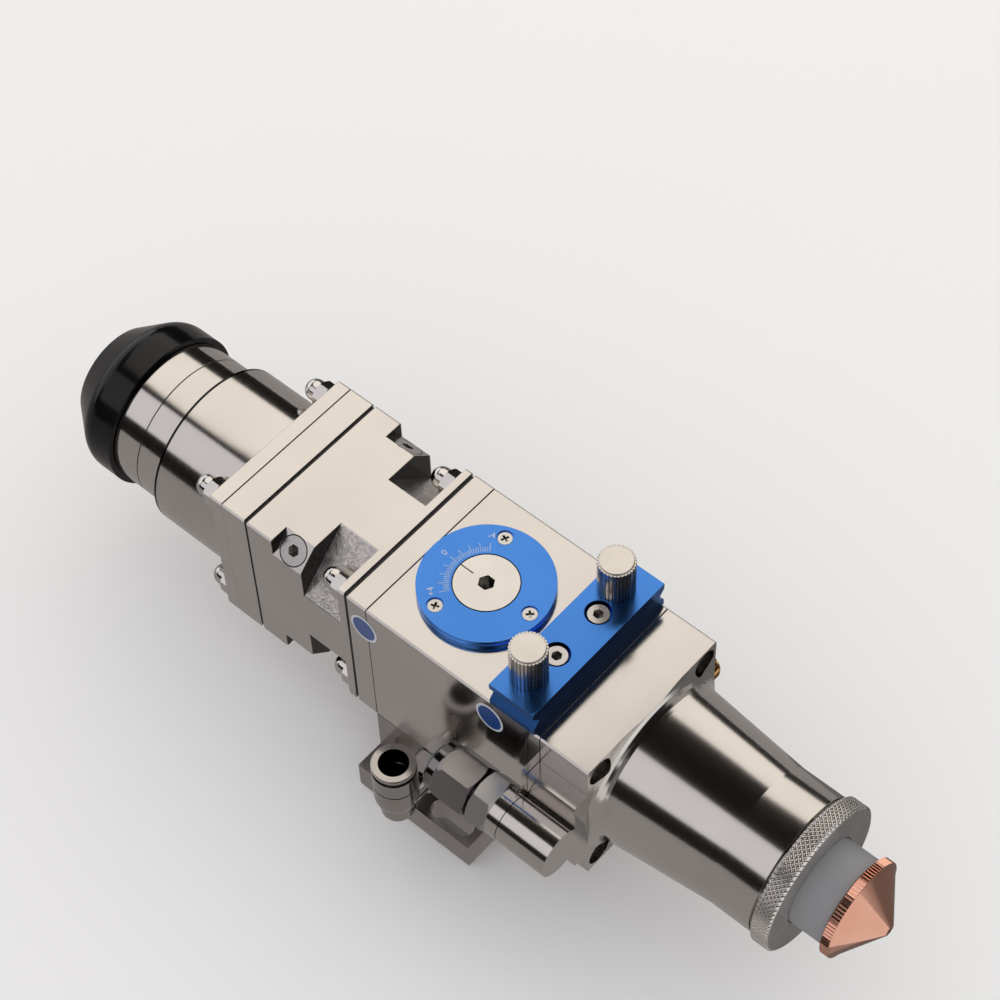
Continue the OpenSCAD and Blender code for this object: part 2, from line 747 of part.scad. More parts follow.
// Threaded ring that holds a lens in its seat
module lens_ring(x0, l) {
    r = lens_r - seat_clear;
    turned([[r - retainer_w, x0], [r, x0], [r, x0 + l], [r - retainer_w, x0 + l]]);
}

// Domed cap nut along -Z with its seat at zero and a blind hole for the stud
module cap_nut() {
    difference() {
        union() {
            mirror([0, 0, 1]) hex_nut(cap_nut_af, cap_nut_hex_h);
            translate([0, 0, cap_nut_dome_r - cap_nut_h])
                cylinder(h = cap_nut_h - cap_nut_dome_r - overlap, r = cap_nut_dome_r);
            translate([0, 0, cap_nut_dome_r - cap_nut_h]) sphere(r = cap_nut_dome_r);
        }
        translate([0, 0, -cap_nut_hex_h])
            cylinder(h = cap_nut_hex_h + overlap, r = stud_r + seat_clear);
    }
}

// Holes for studs through a plate
module stud_holes(x0, x1) {
    at_corners(x0, stud_offset) cylinder(h = x1 - x0, r = stud_r + seat_clear);
}

// Cuts the four long edges of the block away at 45 degrees
module corner_cuts(x0, x1, leg) {
    face = (body_w - leg) / sqrt(2);
    for (angle = [45, 135, 225, 315])
        at_corner_face(x0, angle) translate([0, -body_w, face]) cube([x1 - x0, 2 * body_w, body_w]);
}

// Space that the drawer's tray slides in, from the beam axis up through the top
module tray_space(x0, x1, r) {
    beam_rod(x0, x1, r);
    translate([x0, -r, axis_z]) cube([x1 - x0, 2 * r, half_w + overlap]);
}

// Places its children at the drawer's two thumb screws
module at_thumb(side, z) {
    translate([thumb_place_x, side * thumb_y, z]) children();
}

// Places its children at the bar's two socket screws
module at_bar_screws(z) {
    for (side = [-1, 1]) translate([tray_x, side * bar_screw_y, z]) children();
}

// Places its children at the three screws of the scale ring
module at_scale_screws(z) {
    for (angle = [0, scale_screw_angle, -scale_screw_angle])
        translate([dial_x, 0, z]) rotate([0, 0, angle]) translate([scale_screw_circle_r, 0, 0]) children();
}

// Places its children at the four bracket screws
module at_bracket_screws(z) {
    for (x = [-1, 1], y = [-1, 1]) translate([x * bracket_screw_x, y * bracket_screw_y, z]) children();
}

// Places its children on the gas pipe's axis, with +Z along the beam
module along_gas(x) {
    translate([x, gas_y, axis_z]) rotate([0, 90, 0]) children();
}

// Release collar along +Z: rim at the bottom, sleeve upwards; its children join the rim
module release_collar(rim_r) {
    difference() {
        union() {
            cylinder(h = collar_rim_t, r = rim_r);
            cylinder(h = collar_rim_t + collar_travel + move_gap + collar_depth, r = release_r);
            children();
        }
        translate([0, 0, -overlap])
            cylinder(h = body_w, r = tube_bore_r);
    }
}

// Hole of a push-in fitting along +Z from its mouth, for a collar that sits deeper by the given length
module tube_socket(sink = 0) {
    translate([0, 0, -overlap]) {
        cylinder(h = overlap + sink + collar_depth + collar_travel + 2 * move_gap, r = release_hole_r);
        cylinder(h = overlap + tube_depth, r = tube_bore_r);
    }
}

module dust_cap() {
    taper_angle = atan2(cap_r - cap_end_r, cap_taper_l);
    inner_r = nose_ring_r + move_gap;
    shoulder_x = cap_x0 + cap_taper_l;
    shoulder = arc([cap_r - cap_round_r, shoulder_x + cap_round_r * tan(taper_angle / 2)],
        cap_round_r, -taper_angle, 0);
    color(black_plastic) difference() {
        turned(concat([[0, cap_x0], [cap_end_r, cap_x0]], shoulder, [[cap_r, cap_x1], [0, cap_x1]]));
        beam_rod(cap_x0 + cap_wall, cap_x1 + overlap, inner_r);
    }
}

module lock_ring() {
    r_in = neck_r + fit_clear;
    x1 = sleeve_x0 - move_gap;
    color(bright_nickel) turned([[r_in, ring_x0], [sleeve_r, ring_x0], [sleeve_r, x1], [r_in, x1]]);
}

module receiver_sleeve() {
    bore_x1 = barrel_x0 + fibre_bore_depth;
    nose_x0 = ring_x0 - nose_ring_l;
    groove_x0 = barrel_x0 - groove_w;
    groove_r = sleeve_r - groove_d;
    plug_x1 = barrel_x0 + plug_l;
    beam_in_r = fibre_bore_r - lens_lip;
    color(bright_nickel) turned([
        [fibre_bore_r, nose_x0], [nose_ring_r, nose_x0], [nose_ring_r, ring_x0], [neck_r, ring_x0],
        [neck_r, sleeve_x0], [sleeve_r, sleeve_x0], [sleeve_r, groove_x0], [groove_r, groove_x0],
        [groove_r, barrel_x0], [plug_r, barrel_x0], [plug_r, plug_x1], [beam_in_r, plug_x1],
        [beam_in_r, bore_x1], [fibre_bore_r, bore_x1]
    ]);
}

module collimator_barrel() {
    color(nickel) difference() {
        union() {
            beam_rod(barrel_x0, flange_x0 + overlap, barrel_r);
            housing_plate(flange_x0, cover_x0);
        }
        beam_rod(barrel_x0 - overlap, barrel_x0 + plug_l + seat_clear, plug_r + seat_clear);
        beam_rod(barrel_x0, cover_x0 + overlap, beam_r);
        stud_holes(flange_x0 - overlap, cover_x0 + overlap);
    }
}

module centring_cover() {
    color(nickel) difference() {
        housing_plate(cover_x0, cover_x1);
        beam_rod(cover_x0 - overlap, cover_x1 + overlap, beam_r);
        stud_holes(cover_x0 - overlap, cover_x1 + overlap);
    }
}

module cover_gasket() {
    color(dark_joint) difference() {
        square_prism(cover_x1, block_x0, gasket_inset);
        beam_rod(cover_x1 - overlap, block_x0 + overlap, chamber_r);
        stud_holes(cover_x1 - overlap, block_x0 + overlap);
    }
}

// Hole of a centring screw or plunger along a corner direction, head recess at the corner face
module centring_hole(angle) {
    at_corner_face(centring_x, angle) {
        cylinder(h = body_w, r = centring_shank_r + fit_clear);
        translate([0, 0, shallow_face - centring_head_h - fit_clear])
            cylinder(h = body_w, r = centring_head_r + move_gap);
    }
}

module centring_block() {
    color(nickel) difference() {
        housing_plate(block_x0, block_x1);
        corner_cuts(shallow_x0, pocket_x0, shallow_leg);
        corner_cuts(pocket_x0, pocket_x1, pocket_leg);
        beam_rod(block_x0 - overlap, chamber_x1, chamber_r);
        beam_rod(block_x0, block_x1 + overlap, beam_r);
        for (angle = [45, 135, 225, 315]) centring_hole(angle);
        stud_holes(block_x0 - overlap, block_x0 + stud_depth);
        stud_holes(pocket_x1 - overlap, block_x1 + overlap);
    }
}

module slide_washer() {
    color(gold) turned([
        [beam_r, washer_x0], [cell_foot_r, washer_x0], [cell_foot_r, chamber_x1], [beam_r, chamber_x1]
    ]);
}

module lens_cell() {
    foot_x0 = washer_x0 - cell_foot_t;
    lip_x = cell_lens_x0 + lens_edge_t + lip_sag;
    in_r = lens_r - lens_lip;
    color(dark_metal) turned([
        [lens_r, cell_x0], [cell_r, cell_x0], [cell_r, foot_x0], [cell_foot_r, foot_x0],
        [cell_foot_r, washer_x0], [in_r, washer_x0], [in_r, lip_x], [lens_r, lip_x]
    ]);
}

module collimating_lens() {
    color(lens_glass) lens(cell_lens_x0);
}

module lens_retainer() {
    color(dark_metal) lens_ring(cell_x0 + move_gap, retainer_t);
}

// Centring screw along a corner direction, its tip short of the cell's travel
module centring_screw(angle) {
    tip = cell_r + tip_room;
    seat = shallow_face - centring_head_h;
    color(screw_steel) at_corner_face(centring_x, angle) difference() {
        union() {
            translate([0, 0, seat]) cylinder(h = centring_head_h, r = centring_head_r);
            translate([0, 0, tip]) cylinder(h = seat + overlap - tip, r = centring_shank_r);
        }
        translate([0, 0, shallow_face - centring_socket_h]) hex_prism(centring_socket_af, body_w);
    }
}

module centring_screw_a() {
    centring_screw(45);
}

module centring_screw_b() {
    centring_screw(-45);
}

module spring_plungers() {
    centring_screw(135);
    centring_screw(225);
}

module flange_studs() {
    x0 = flange_x0 - cap_nut_hex_h;
    color(screw_steel) at_corners(x0, stud_offset) cylinder(h = block_x0 + stud_depth - x0, r = stud_r);
}

module flange_cap_nuts() {
    color(bright_nickel) at_corners(flange_x0, stud_offset) cap_nut();
}

module block_studs() {
    x0 = pocket_x1 - cap_nut_hex_h;
    color(screw_steel) at_corners(x0, stud_offset) cylinder(h = main_x0 + stud_depth - x0, r = stud_r);
}

module block_cap_nuts() {
    color(bright_nickel) at_corners(pocket_x1, stud_offset) cap_nut();
}

module adapter_joint() {
    color(dark_joint) difference() {
        square_prism(block_x1, adapter_x0, gasket_inset);
        beam_rod(block_x1 - overlap, adapter_x0 + overlap, beam_r);
        stud_holes(block_x1 - overlap, adapter_x0 + overlap);
    }
}

module adapter_plate() {
    color(nickel) difference() {
        housing_plate(adapter_x0, main_x0);
        beam_rod(adapter_x0 - overlap, main_x0 + overlap, beam_r);
        stud_holes(adapter_x0 - overlap, main_x0 + overlap);
    }
}

module main_body() {
    color(nickel) difference() {
        housing_plate(main_x0, main_x1);
        beam_rod(main_x0 - overlap, main_x0 + focus_bore_l, focus_bore_r);
        beam_rod(main_x0, main_x1, chamber_in_r);
        tray_space(slot_x0, main_x1 + overlap, tray_r + drawer_clear);
        stud_holes(main_x0 - overlap, main_x0 + stud_depth);
        at_corners(main_x1 - end_screw_depth, end_screw_offset)
            cylinder(h = end_screw_depth + overlap, r = end_screw_r + seat_clear);
        translate([dial_x, 0, axis_z]) cylinder(h = body_w, r = knob_shaft_r + fit_clear);
        translate([dial_x, 0, top_z - knob_recess_t]) cylinder(h = body_w, r = knob_flange_r + move_gap);
        at_scale_screws(top_z - scale_screw_depth) cylinder(h = body_w, r = scale_screw_r + seat_clear);
        for (side = [-1, 1])
            at_thumb(side, top_z - thumb_depth - move_gap)
                cylinder(h = body_w, r = thumb_shank_r + screw_clear);
        at_bracket_screws(bracket_h - overlap)
            cylinder(h = overlap + bracket_screw_depth, r = bracket_screw_r + seat_clear);
    }
}

module scale_ring() {
    r_in = knob_face_r + move_gap;
    mid_z = top_z + scale_t / 2;
    color(anodised_blue) difference() {
        translate([dial_x, 0, 0]) rotate_extrude() polygon([
            [r_in, top_z], [scale_r, top_z], [scale_r, mid_z - scale_groove],
            [scale_r - scale_groove, mid_z], [scale_r, mid_z + scale_groove],
            [scale_r, scale_z1], [r_in, scale_z1]
        ]);
        at_scale_screws(top_z - overlap) cylinder(h = body_w, r = scale_screw_r + screw_clear);
        at_scale_screws(scale_head_z - countersink_h) cylinder(
            h = countersink_h, r1 = scale_screw_r + seat_clear, r2 = scale_screw_head_r + seat_clear);
        at_scale_screws(scale_head_z) cylinder(h = body_w, r = scale_screw_head_r + move_gap);
    }
}

module scale_ring_screws() {
    z0 = top_z - scale_screw_depth;
    h = scale_head_z - z0;
    color(screw_steel) at_scale_screws(z0) difference() {
        rotate_extrude() polygon([
            [0, 0], [scale_screw_r, 0], [scale_screw_r, h - countersink_h], [scale_screw_head_r, h], [0, h]
        ]);
        for (angle = [45, 135])
            translate([0, 0, h - cross_h]) rotate([0, 0, angle])
                translate([-cross_l / 2, -cross_w / 2, 0]) cube([cross_l, cross_w, cross_h + overlap]);
    }
}

module focus_knob() {
    flange_z0 = top_z - knob_recess_t + knob_gap;
    flange_z1 = flange_z0 + knob_flange_t;
    color(bright_nickel) translate([dial_x, 0, 0]) difference() {
        union() {
            rotate_extrude() polygon([
                [0, knob_shaft_z0], [knob_shaft_r, knob_shaft_z0], [knob_shaft_r, flange_z0],
                [knob_flange_r, flange_z0], [knob_flange_r, flange_z1], [knob_face_r, flange_z1],
                [knob_face_r, scale_z1], [0, scale_z1]
            ]);
            translate([0, -pin_offset, pin_z0]) cylinder(h = pin_l + overlap, r = pin_r);
        }
        translate([0, 0, scale_z1 - knob_socket_h]) hex_prism(knob_socket_af, body_w);
        translate([-knob_face_r - overlap, -index_w / 2, scale_z1 - index_d])
            cube([knob_face_r + overlap - index_start, index_w, index_d + overlap]);
    }
}

module focus_lens_holder() {
    lip_x = holder_lens_x0 - lip_sag;
    x1 = holder_x0 + holder_l;
    in_r = lens_r - lens_lip;
    slot_half = pin_r + pin_room;
    near = pin_offset * cos(pin_sweep) - slot_half;
    far = pin_offset + slot_half;
    color(dark_metal) difference() {
        turned([
            [in_r, holder_x0], [holder_r, holder_x0], [holder_r, x1],
            [lens_r, x1], [lens_r, lip_x], [in_r, lip_x]
        ]);
        translate([dial_x - slot_half, -far, pin_z0 - move_gap])
            cube([2 * slot_half, far - near, body_w]);
    }
}

module focus_lens() {
    color(lens_glass) lens(holder_lens_x0);
}

module focus_lens_retainer() {
    color(dark_metal) lens_ring(holder_lens_x0 + lens_edge_t + ring_sag, retainer_t);
}

module drawer_bar() {
    y = bar_l / 2;
    outline = [
        [-y, 0], [y, 0], [y, finger_lip], [y - finger_d, bar_h / 2], [y, bar_h - finger_lip], [y, bar_h],
        [-y, bar_h], [-y, bar_h - finger_lip], [finger_d - y, bar_h / 2], [-y, finger_lip]
    ];
    color(anodised_blue) difference() {
        translate([tray_x - bar_w / 2, 0, top_z])
            rotate([90, 0, 90]) linear_extrude(bar_w) polygon(outline);
        at_bar_screws(top_z - overlap) cylinder(h = body_w, r = bar_screw_r + screw_clear);
        at_bar_screws(bar_screw_seat_z) cylinder(h = body_w, r = bar_screw_recess_r);
        for (side = [-1, 1])
            at_thumb(side, top_z - overlap) cylinder(h = body_w, r = thumb_shank_r + screw_clear);
    }
}

module drawer_tray() {
    color(dark_metal) difference() {
        union() {
            beam_rod(tray_x0, tray_x0 + tray_t, tray_r);
            translate([tray_x0, -tray_r, axis_z]) cube([tray_t, 2 * tray_r, half_w]);
        }
        beam_rod(tray_x0 - overlap, window_pocket_x1, window_r + seat_clear);
        beam_rod(tray_x0, tray_x0 + tray_t + overlap, window_r - window_lip);
        at_bar_screws(top_z - bar_screw_depth) cylinder(h = body_w, r = bar_screw_r + seat_clear);
    }
}

// Flat ring inside the tray's window pocket
module window_ring(x0, l) {
    turned([
        [window_r - window_lip, x0], [window_r, x0], [window_r, x0 + l], [window_r - window_lip, x0 + l]
    ]);
}

module window_seal() {
    color(dark_joint) window_ring(window_pocket_x1 - window_seal_t, window_seal_t);
}

module protective_window() {
    x1 = window_pocket_x1 - window_seal_t;
    color(lens_glass) beam_rod(x1 - window_t, x1, window_r);
}

module window_retainer() {
    x1 = window_pocket_x1 - window_seal_t - window_t;
    color(bright_nickel) window_ring(x1 - window_ring_t, window_ring_t);
}

module drawer_bar_screws() {
    z1 = bar_z1 - bar_screw_sink;
    shank_l = bar_screw_seat_z - top_z + bar_screw_depth;
    color(screw_steel) at_bar_screws(z1) mirror([0, 0, 1])
        socket_screw(bar_screw_head_r, bar_screw_head_h, bar_screw_r, shank_l, bar_screw_socket_af);
}

// Thumb screw with a slotted head and a turned crown
module thumb_screw(side) {
    slotted_h = thumb_h - thumb_crown_h;
    crown_r = thumb_r - thumb_slot_d - thumb_crown_step;
    crown = arc([crown_r - thumb_crown_h, 0], thumb_crown_h, 0, 90);
    color(bright_nickel) at_thumb(side, bar_z1) {
        linear_extrude(slotted_h) polygon(slotted(thumb_r, thumb_slot_d, thumb_slots, thumb_rib_share));
        translate([0, 0, slotted_h]) rotate_extrude()
            polygon(concat([[0, -overlap], [crown_r - overlap, -overlap]], crown, [[0, thumb_crown_h]]));
        translate([0, 0, -bar_h - thumb_depth])
            cylinder(h = bar_h + thumb_depth + overlap, r = thumb_shank_r);
    }
}

module thumb_screw_left() {
    thumb_screw(-1);
}

module thumb_screw_right() {
    thumb_screw(1);
}

module window_plate() {
    color(nickel) difference() {
        housing_plate(main_x1, end_x0);
        beam_rod(main_x1 - overlap, end_x0 + overlap, chamber_in_r);
        at_corners(main_x1 - overlap, end_screw_offset)
            cylinder(h = window_plate_t + 2 * overlap, r = end_screw_r + screw_clear);
    }
}

// Cone, collar and threaded nose with a fillet that flares out over the square end
module cone_and_collar() {
    flare_r = cone_r + cone_fillet;
    fillet = arc([flare_r, end_x1 + cone_fillet], cone_fillet, 270, 180);
    groove_x0 = collar_x1 - collar_groove_w;
    groove_r = collar_r - collar_groove_d;
    turned(concat(
        [[0, end_x0 + overlap], [flare_r, end_x0 + overlap]], fillet,
        [
            [collar_r, cone_x1], [collar_r, groove_x0], [groove_r, groove_x0], [groove_r, collar_x1],
            [nose_r, collar_x1], [nose_r, nose_x1], [0, nose_x1]
        ]
    ));
}

// Gas boss with its round pipe, rooted in the square end
module gas_boss() {
    translate([end_x1 - boss_l, -half_w - boss_t, axis_z - boss_h / 2]) cube([boss_l, boss_t, boss_h]);
    translate([end_x0, -half_w - overlap, axis_z - boss_h / 2]) cube([end_block_l, 2 * overlap, boss_h]);
    along_gas(pipe_x0) cylinder(h = gas_pipe_l, r = gas_pipe_r);
}

module nozzle_body() {
    color(nickel) difference() {
        union() {
            intersection() {
                union() {
                    square_prism(end_x0, end_x1);
                    cone_and_collar();
                }
                housing_plate(end_x0, tip_x);
            }
            gas_boss();
        }
        turned([
            [0, end_x0 - overlap], [chamber_in_r, end_x0 - overlap], [chamber_in_r, end_x1],
            [chamber_out_r, collar_x1], [chamber_out_r, nose_x1 + overlap], [0, nose_x1 + overlap]
        ]);
        at_corners(end_x0 - overlap, end_screw_offset) cylinder(h = body_w, r = end_screw_r + screw_clear);
        at_corners(end_screw_seat_x, end_screw_offset) cylinder(h = body_w, r = end_screw_recess_r);
        along_gas(pipe_x0 - overlap) cylinder(h = overlap + gas_socket_l, r = gas_socket_r + seat_clear);
        along_gas(pipe_x0) cylinder(h = end_mid_x - pipe_x0, r = gas_channel_r);
        translate([end_mid_x, gas_y, axis_z]) rotate([-90, 0, 0]) cylinder(h = -gas_y, r = gas_channel_r);
        translate([end_mid_x, half_w - plug_stem_l, axis_z]) rotate([-90, 0, 0])
            cylinder(h = body_w, r = plug_stem_r + seat_clear);
    }
}

module nozzle_body_screws() {
    x1 = end_screw_seat_x + end_screw_head_h;
    shank_l = end_screw_seat_x - main_x1 + end_screw_depth;
    color(screw_steel) at_corners(x1, end_screw_offset) mirror([0, 0, 1])
        socket_screw(end_screw_head_r, end_screw_head_h, end_screw_r, shank_l, end_screw_socket_af);
}

module gas_fitting_nut() {
    color(screw_steel) along_gas(gas_nut_x0) rotate([0, 0, 30]) difference() {
        union() {
            hex_nut(gas_fitting_af, gas_nut_l);
            translate([0, 0, -gas_neck_l]) cylinder(h = gas_neck_l + overlap, r = gas_socket_r);
            cylinder(h = gas_nut_l + gas_socket_l, r = gas_socket_r);
        }
        translate([0, 0, -gas_neck_l - overlap]) cylinder(h = body_w, r = gas_channel_r);
    }
}

module gas_fitting_body() {
    round_r = gas_fitting_af / 2 - gas_round_in;
    out_r = hex_r(gas_fitting_af);
    mouth_l = collar_rim_t - collar_proud + collar_travel + move_gap;
    color(dark_metal) along_gas(gas_body_x0) rotate([0, 0, 30]) difference() {
        intersection() {
            hex_nut(gas_fitting_af, gas_body_l);
            rotate_extrude() polygon([
                [0, 0], [round_r - gas_bevel, 0], [round_r, gas_bevel], [round_r, gas_round_l],
                [out_r, gas_round_l + gas_shoulder_l], [out_r, gas_body_l], [0, gas_body_l]
            ]);
        }
        tube_socket(mouth_l);
        translate([0, 0, -overlap]) cylinder(h = overlap + mouth_l, r = gas_rim_r + move_gap);
        cylinder(h = body_w, r = gas_channel_r);
    }
}

module gas_fitting_collar() {
    color(release_green) along_gas(gas_body_x0 - collar_proud) release_collar(gas_rim_r);
}

module elbow_stem() {
    color(screw_steel) translate([0, -half_w, elbow_stem_z]) rotate([90, 0, 0]) difference() {
        union() {
            hex_nut(stem_af, stem_hex_l);
            translate([0, 0, -stem_depth]) cylinder(h = stem_depth + elbow_out, r = stem_r);
        }
        translate([0, 0, -stem_depth - overlap]) cylinder(h = 2 * body_w, r = stem_channel_r);
    }
}

module elbow_body() {
    neck_y = stem_hex_y - move_gap;
    sleeve_z0 = elbow_top_z - elbow_sleeve_l;
    foot_z = elbow_stem_z - elbow_down;
    groove_z1 = elbow_top_z - elbow_groove_at;
    groove_z0 = groove_z1 - elbow_groove_w;
    groove_r = elbow_sleeve_r - elbow_groove_d;
    step = elbow_sleeve_r - elbow_low_r;
    bowl_r = (elbow_bowl_h * elbow_bowl_h + step * step) / (2 * step);
    bowl = arc([elbow_sleeve_r - bowl_r, sleeve_z0], bowl_r, -asin(elbow_bowl_h / bowl_r), 0);
    color(bright_nickel) difference() {
        union() {
            translate([0, elbow_y, 0]) rotate_extrude() polygon(concat(
                [[0, foot_z], [elbow_low_r - elbow_bevel, foot_z], [elbow_low_r, foot_z + elbow_bevel]],
                bowl,
                [
                    [elbow_sleeve_r, groove_z0], [groove_r, groove_z0], [groove_r, groove_z1],
                    [elbow_sleeve_r, groove_z1], [elbow_sleeve_r, elbow_top_z], [0, elbow_top_z]
                ]
            ));
            translate([0, neck_y, elbow_stem_z]) rotate([90, 0, 0])
                cylinder(h = neck_y - elbow_y, r = elbow_neck_r);
        }
        translate([0, neck_y + overlap, elbow_stem_z]) rotate([90, 0, 0])
            cylinder(h = overlap + neck_y - elbow_y + stem_r, r = stem_r + fit_clear);
        translate([0, elbow_y, elbow_top_z]) mirror([0, 0, 1]) tube_socket();
        translate([0, elbow_y, elbow_stem_z]) cylinder(h = elbow_up, r = stem_channel_r);
    }
}

module elbow_collar() {
    z1 = elbow_top_z + collar_rim_t + collar_travel + move_gap;
    rim_r = elbow_sleeve_r - 2 * elbow_rim_tooth_d;
    tooth_z = collar_rim_t / 4;
    color(bright_nickel) translate([0, elbow_y, z1]) mirror([0, 0, 1]) release_collar(rim_r)
        translate([0, 0, tooth_z]) linear_extrude(collar_rim_t - tooth_z)
            polygon(fluted(elbow_sleeve_r, elbow_rim_tooth_d, elbow_rim_teeth));
}

module sensor_connector() {
    rim_r = plug_shell_r - 2 * plug_flute_d;
    floor_h = plug_seat_t / 2;
    shell_h0 = 2 * plug_seat_t;
    shell_h1 = plug_shell_l - plug_seat_t / 2;
    color(gold) translate([end_mid_x, half_w, axis_z]) rotate([-90, 0, 0]) {
        difference() {
            union() {
                rotate_extrude() polygon([
                    [0, -plug_stem_l], [plug_stem_r, -plug_stem_l], [plug_stem_r, 0], [plug_shell_r, 0],
                    [plug_shell_r, plug_seat_t], [plug_stem_r, plug_seat_t], [plug_stem_r, shell_h0],
                    [rim_r, shell_h0], [rim_r, plug_shell_l], [0, plug_shell_l]
                ]);
                translate([0, 0, shell_h0]) linear_extrude(shell_h1 - shell_h0)
                    polygon(fluted(plug_shell_r, plug_flute_d, plug_flutes));
            }
            translate([0, 0, floor_h]) cylinder(h = plug_shell_l, r = plug_bore_r);
        }
        cylinder(h = plug_shell_l - plug_seat_t, r = plug_pin_r);
    }
}

module retaining_nut() {
    thread_r = nose_r + fit_clear;
    lip_x = nose_x1 + ceramic_flange_t + fit_clear;
    lip_r = ceramic_r + move_gap;
    color(nickel) turned([
        [thread_r, nut_x0], [nut_r - nut_bevel, nut_x0], [nut_r, nut_x0 + nut_bevel],
        [nut_r, nut_x1 - nut_bevel], [nut_r - nut_bevel, nut_x1],
        [lip_r, nut_x1], [lip_r, lip_x], [thread_r, lip_x]
    ]);
}

module ceramic_ring() {
    thread_r = nozzle_stem_r + fit_clear;
    flange_x1 = nose_x1 + ceramic_flange_t;
    thread_x0 = ceramic_x1 - ceramic_thread_l;
    color(ceramic_white) turned([
        [ceramic_in_r, nose_x1], [ceramic_flange_r, nose_x1], [ceramic_flange_r, flange_x1],
        [ceramic_r, flange_x1], [ceramic_r, ceramic_x1], [thread_r, ceramic_x1],
        [thread_r, thread_x0], [ceramic_in_r, thread_x0]
    ]);
}

module nozzle() {
    stem_x0 = ceramic_x1 - nozzle_stem_l;
    rim_x0 = ceramic_x1 + nozzle_neck_l;
    cone_r0 = nozzle_r - 2 * nozzle_tooth_d;
    neck_r = nozzle_r - nozzle_neck_d;
    // The land in front of the funnel is as long as the orifice is wide
    land_x0 = tip_x - 2 * orifice_r;
    color(copper) difference() {
        union() {
            along_beam(rim_x0) linear_extrude(nozzle_x1 - rim_x0)
                polygon(fluted(nozzle_r, nozzle_tooth_d, nozzle_teeth));
            turned([
                [0, stem_x0], [nozzle_stem_r, stem_x0], [nozzle_stem_r, ceramic_x1],
                [neck_r, ceramic_x1], [neck_r, rim_x0], [cone_r0, rim_x0], [cone_r0, nozzle_x1],
                [nozzle_tip_r, tip_x], [0, tip_x]
            ]);
        }
        turned([
            [0, stem_x0 - overlap], [nozzle_in_r, stem_x0 - overlap], [nozzle_in_r, ceramic_x1],
            [orifice_r, land_x0], [orifice_r, tip_x + overlap], [0, tip_x + overlap]
        ]);
    }
}

// Oblong slot through a foot, its length along the beam
module foot_slot() {
    reach = (slot_l - slot_w) / 2;
    for (x = [-reach, reach])
        translate([x, 0, -overlap]) cylinder(h = foot_t + 2 * overlap, r = slot_w / 2);
    translate([-reach, -slot_w / 2, -overlap]) cube([2 * reach, slot_w, foot_t + 2 * overlap]);
}

module mounting_bracket() {
    foot_w = body_w + 2 * foot_out;
    color(nickel) difference() {
        union() {
            translate([main_x0, -half_w, 0]) cube([bracket_l, body_w, bracket_h]);
            translate([main_x0, -foot_w / 2, 0]) cube([bracket_l, foot_w, foot_t]);
        }
        for (x = [-1, 1], y = [-1, 1]) translate([x * slot_spacing_x / 2, y * slot_y, 0]) foot_slot();
        at_bracket_screws(-overlap)
            cylinder(h = overlap + bracket_recess_l, r = bracket_screw_head_r + screw_clear);
        at_bracket_screws(0) cylinder(h = bracket_h + overlap, r = bracket_screw_r + screw_clear);
        translate([0, -half_w - overlap, elbow_stem_z]) rotate([-90, 0, 0])
            cylinder(h = overlap + stem_depth, r = stem_r + seat_clear);
    }
}

module bracket_screws() {
    z0 = bracket_recess_l - bracket_screw_head_h;
    shank_l = bracket_h + bracket_screw_depth - bracket_recess_l;
    color(screw_steel) at_bracket_screws(z0)
        socket_screw(bracket_screw_head_r, bracket_screw_head_h, bracket_screw_r, shank_l, bracket_socket_af);
}

dust_cap();
lock_ring();
receiver_sleeve();
collimator_barrel();
centring_cover();
cover_gasket();
centring_block();
slide_washer();
lens_cell();
collimating_lens();
lens_retainer();
centring_screw_a();
centring_screw_b();
spring_plungers();
flange_studs();
flange_cap_nuts();
block_studs();
block_cap_nuts();
adapter_joint();
adapter_plate();
main_body();
scale_ring();
scale_ring_screws();
focus_knob();
focus_lens_holder();
focus_lens();
focus_lens_retainer();
drawer_bar();
drawer_tray();
protective_window();
window_seal();
window_retainer();
drawer_bar_screws();
thumb_screw_left();
thumb_screw_right();
window_plate();
nozzle_body();
nozzle_body_screws();
gas_fitting_nut();
gas_fitting_body();
gas_fitting_collar();
elbow_stem();
elbow_body();
elbow_collar();
sensor_connector();
retaining_nut();
ceramic_ring();
nozzle();
mounting_bracket();
bracket_screws();
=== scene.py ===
"""Looks of the laser cutting head.

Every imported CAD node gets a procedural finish, the marks and the knurl that are too fine for the
solids are added as pieces of their own, and a plain studio is set with the photograph's camera.
Sizes in the classes are millimetres, and meshes are made in metres.
"""

from __future__ import annotations

import logging
import math
from collections.abc import Iterable, Sequence
from dataclasses import dataclass, field
from enum import Enum
from typing import Any

import bmesh
import bpy
from mathutils import Matrix, Vector


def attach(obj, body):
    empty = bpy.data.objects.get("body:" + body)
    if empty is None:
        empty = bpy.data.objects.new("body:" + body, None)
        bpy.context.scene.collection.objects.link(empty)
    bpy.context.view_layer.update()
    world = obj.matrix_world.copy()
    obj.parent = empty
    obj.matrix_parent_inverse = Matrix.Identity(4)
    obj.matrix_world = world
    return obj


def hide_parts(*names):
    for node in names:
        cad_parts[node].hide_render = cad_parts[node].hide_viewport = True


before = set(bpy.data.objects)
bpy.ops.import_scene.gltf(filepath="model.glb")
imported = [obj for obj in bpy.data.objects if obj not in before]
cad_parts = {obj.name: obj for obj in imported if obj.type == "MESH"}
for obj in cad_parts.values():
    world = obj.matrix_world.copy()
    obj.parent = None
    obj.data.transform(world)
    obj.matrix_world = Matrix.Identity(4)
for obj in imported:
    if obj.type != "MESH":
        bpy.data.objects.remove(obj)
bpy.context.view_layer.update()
LOG = logging.getLogger("cutting_head")
MM = 0.001
Colour = tuple[float, float, float]
Point = tuple[float, float, float]


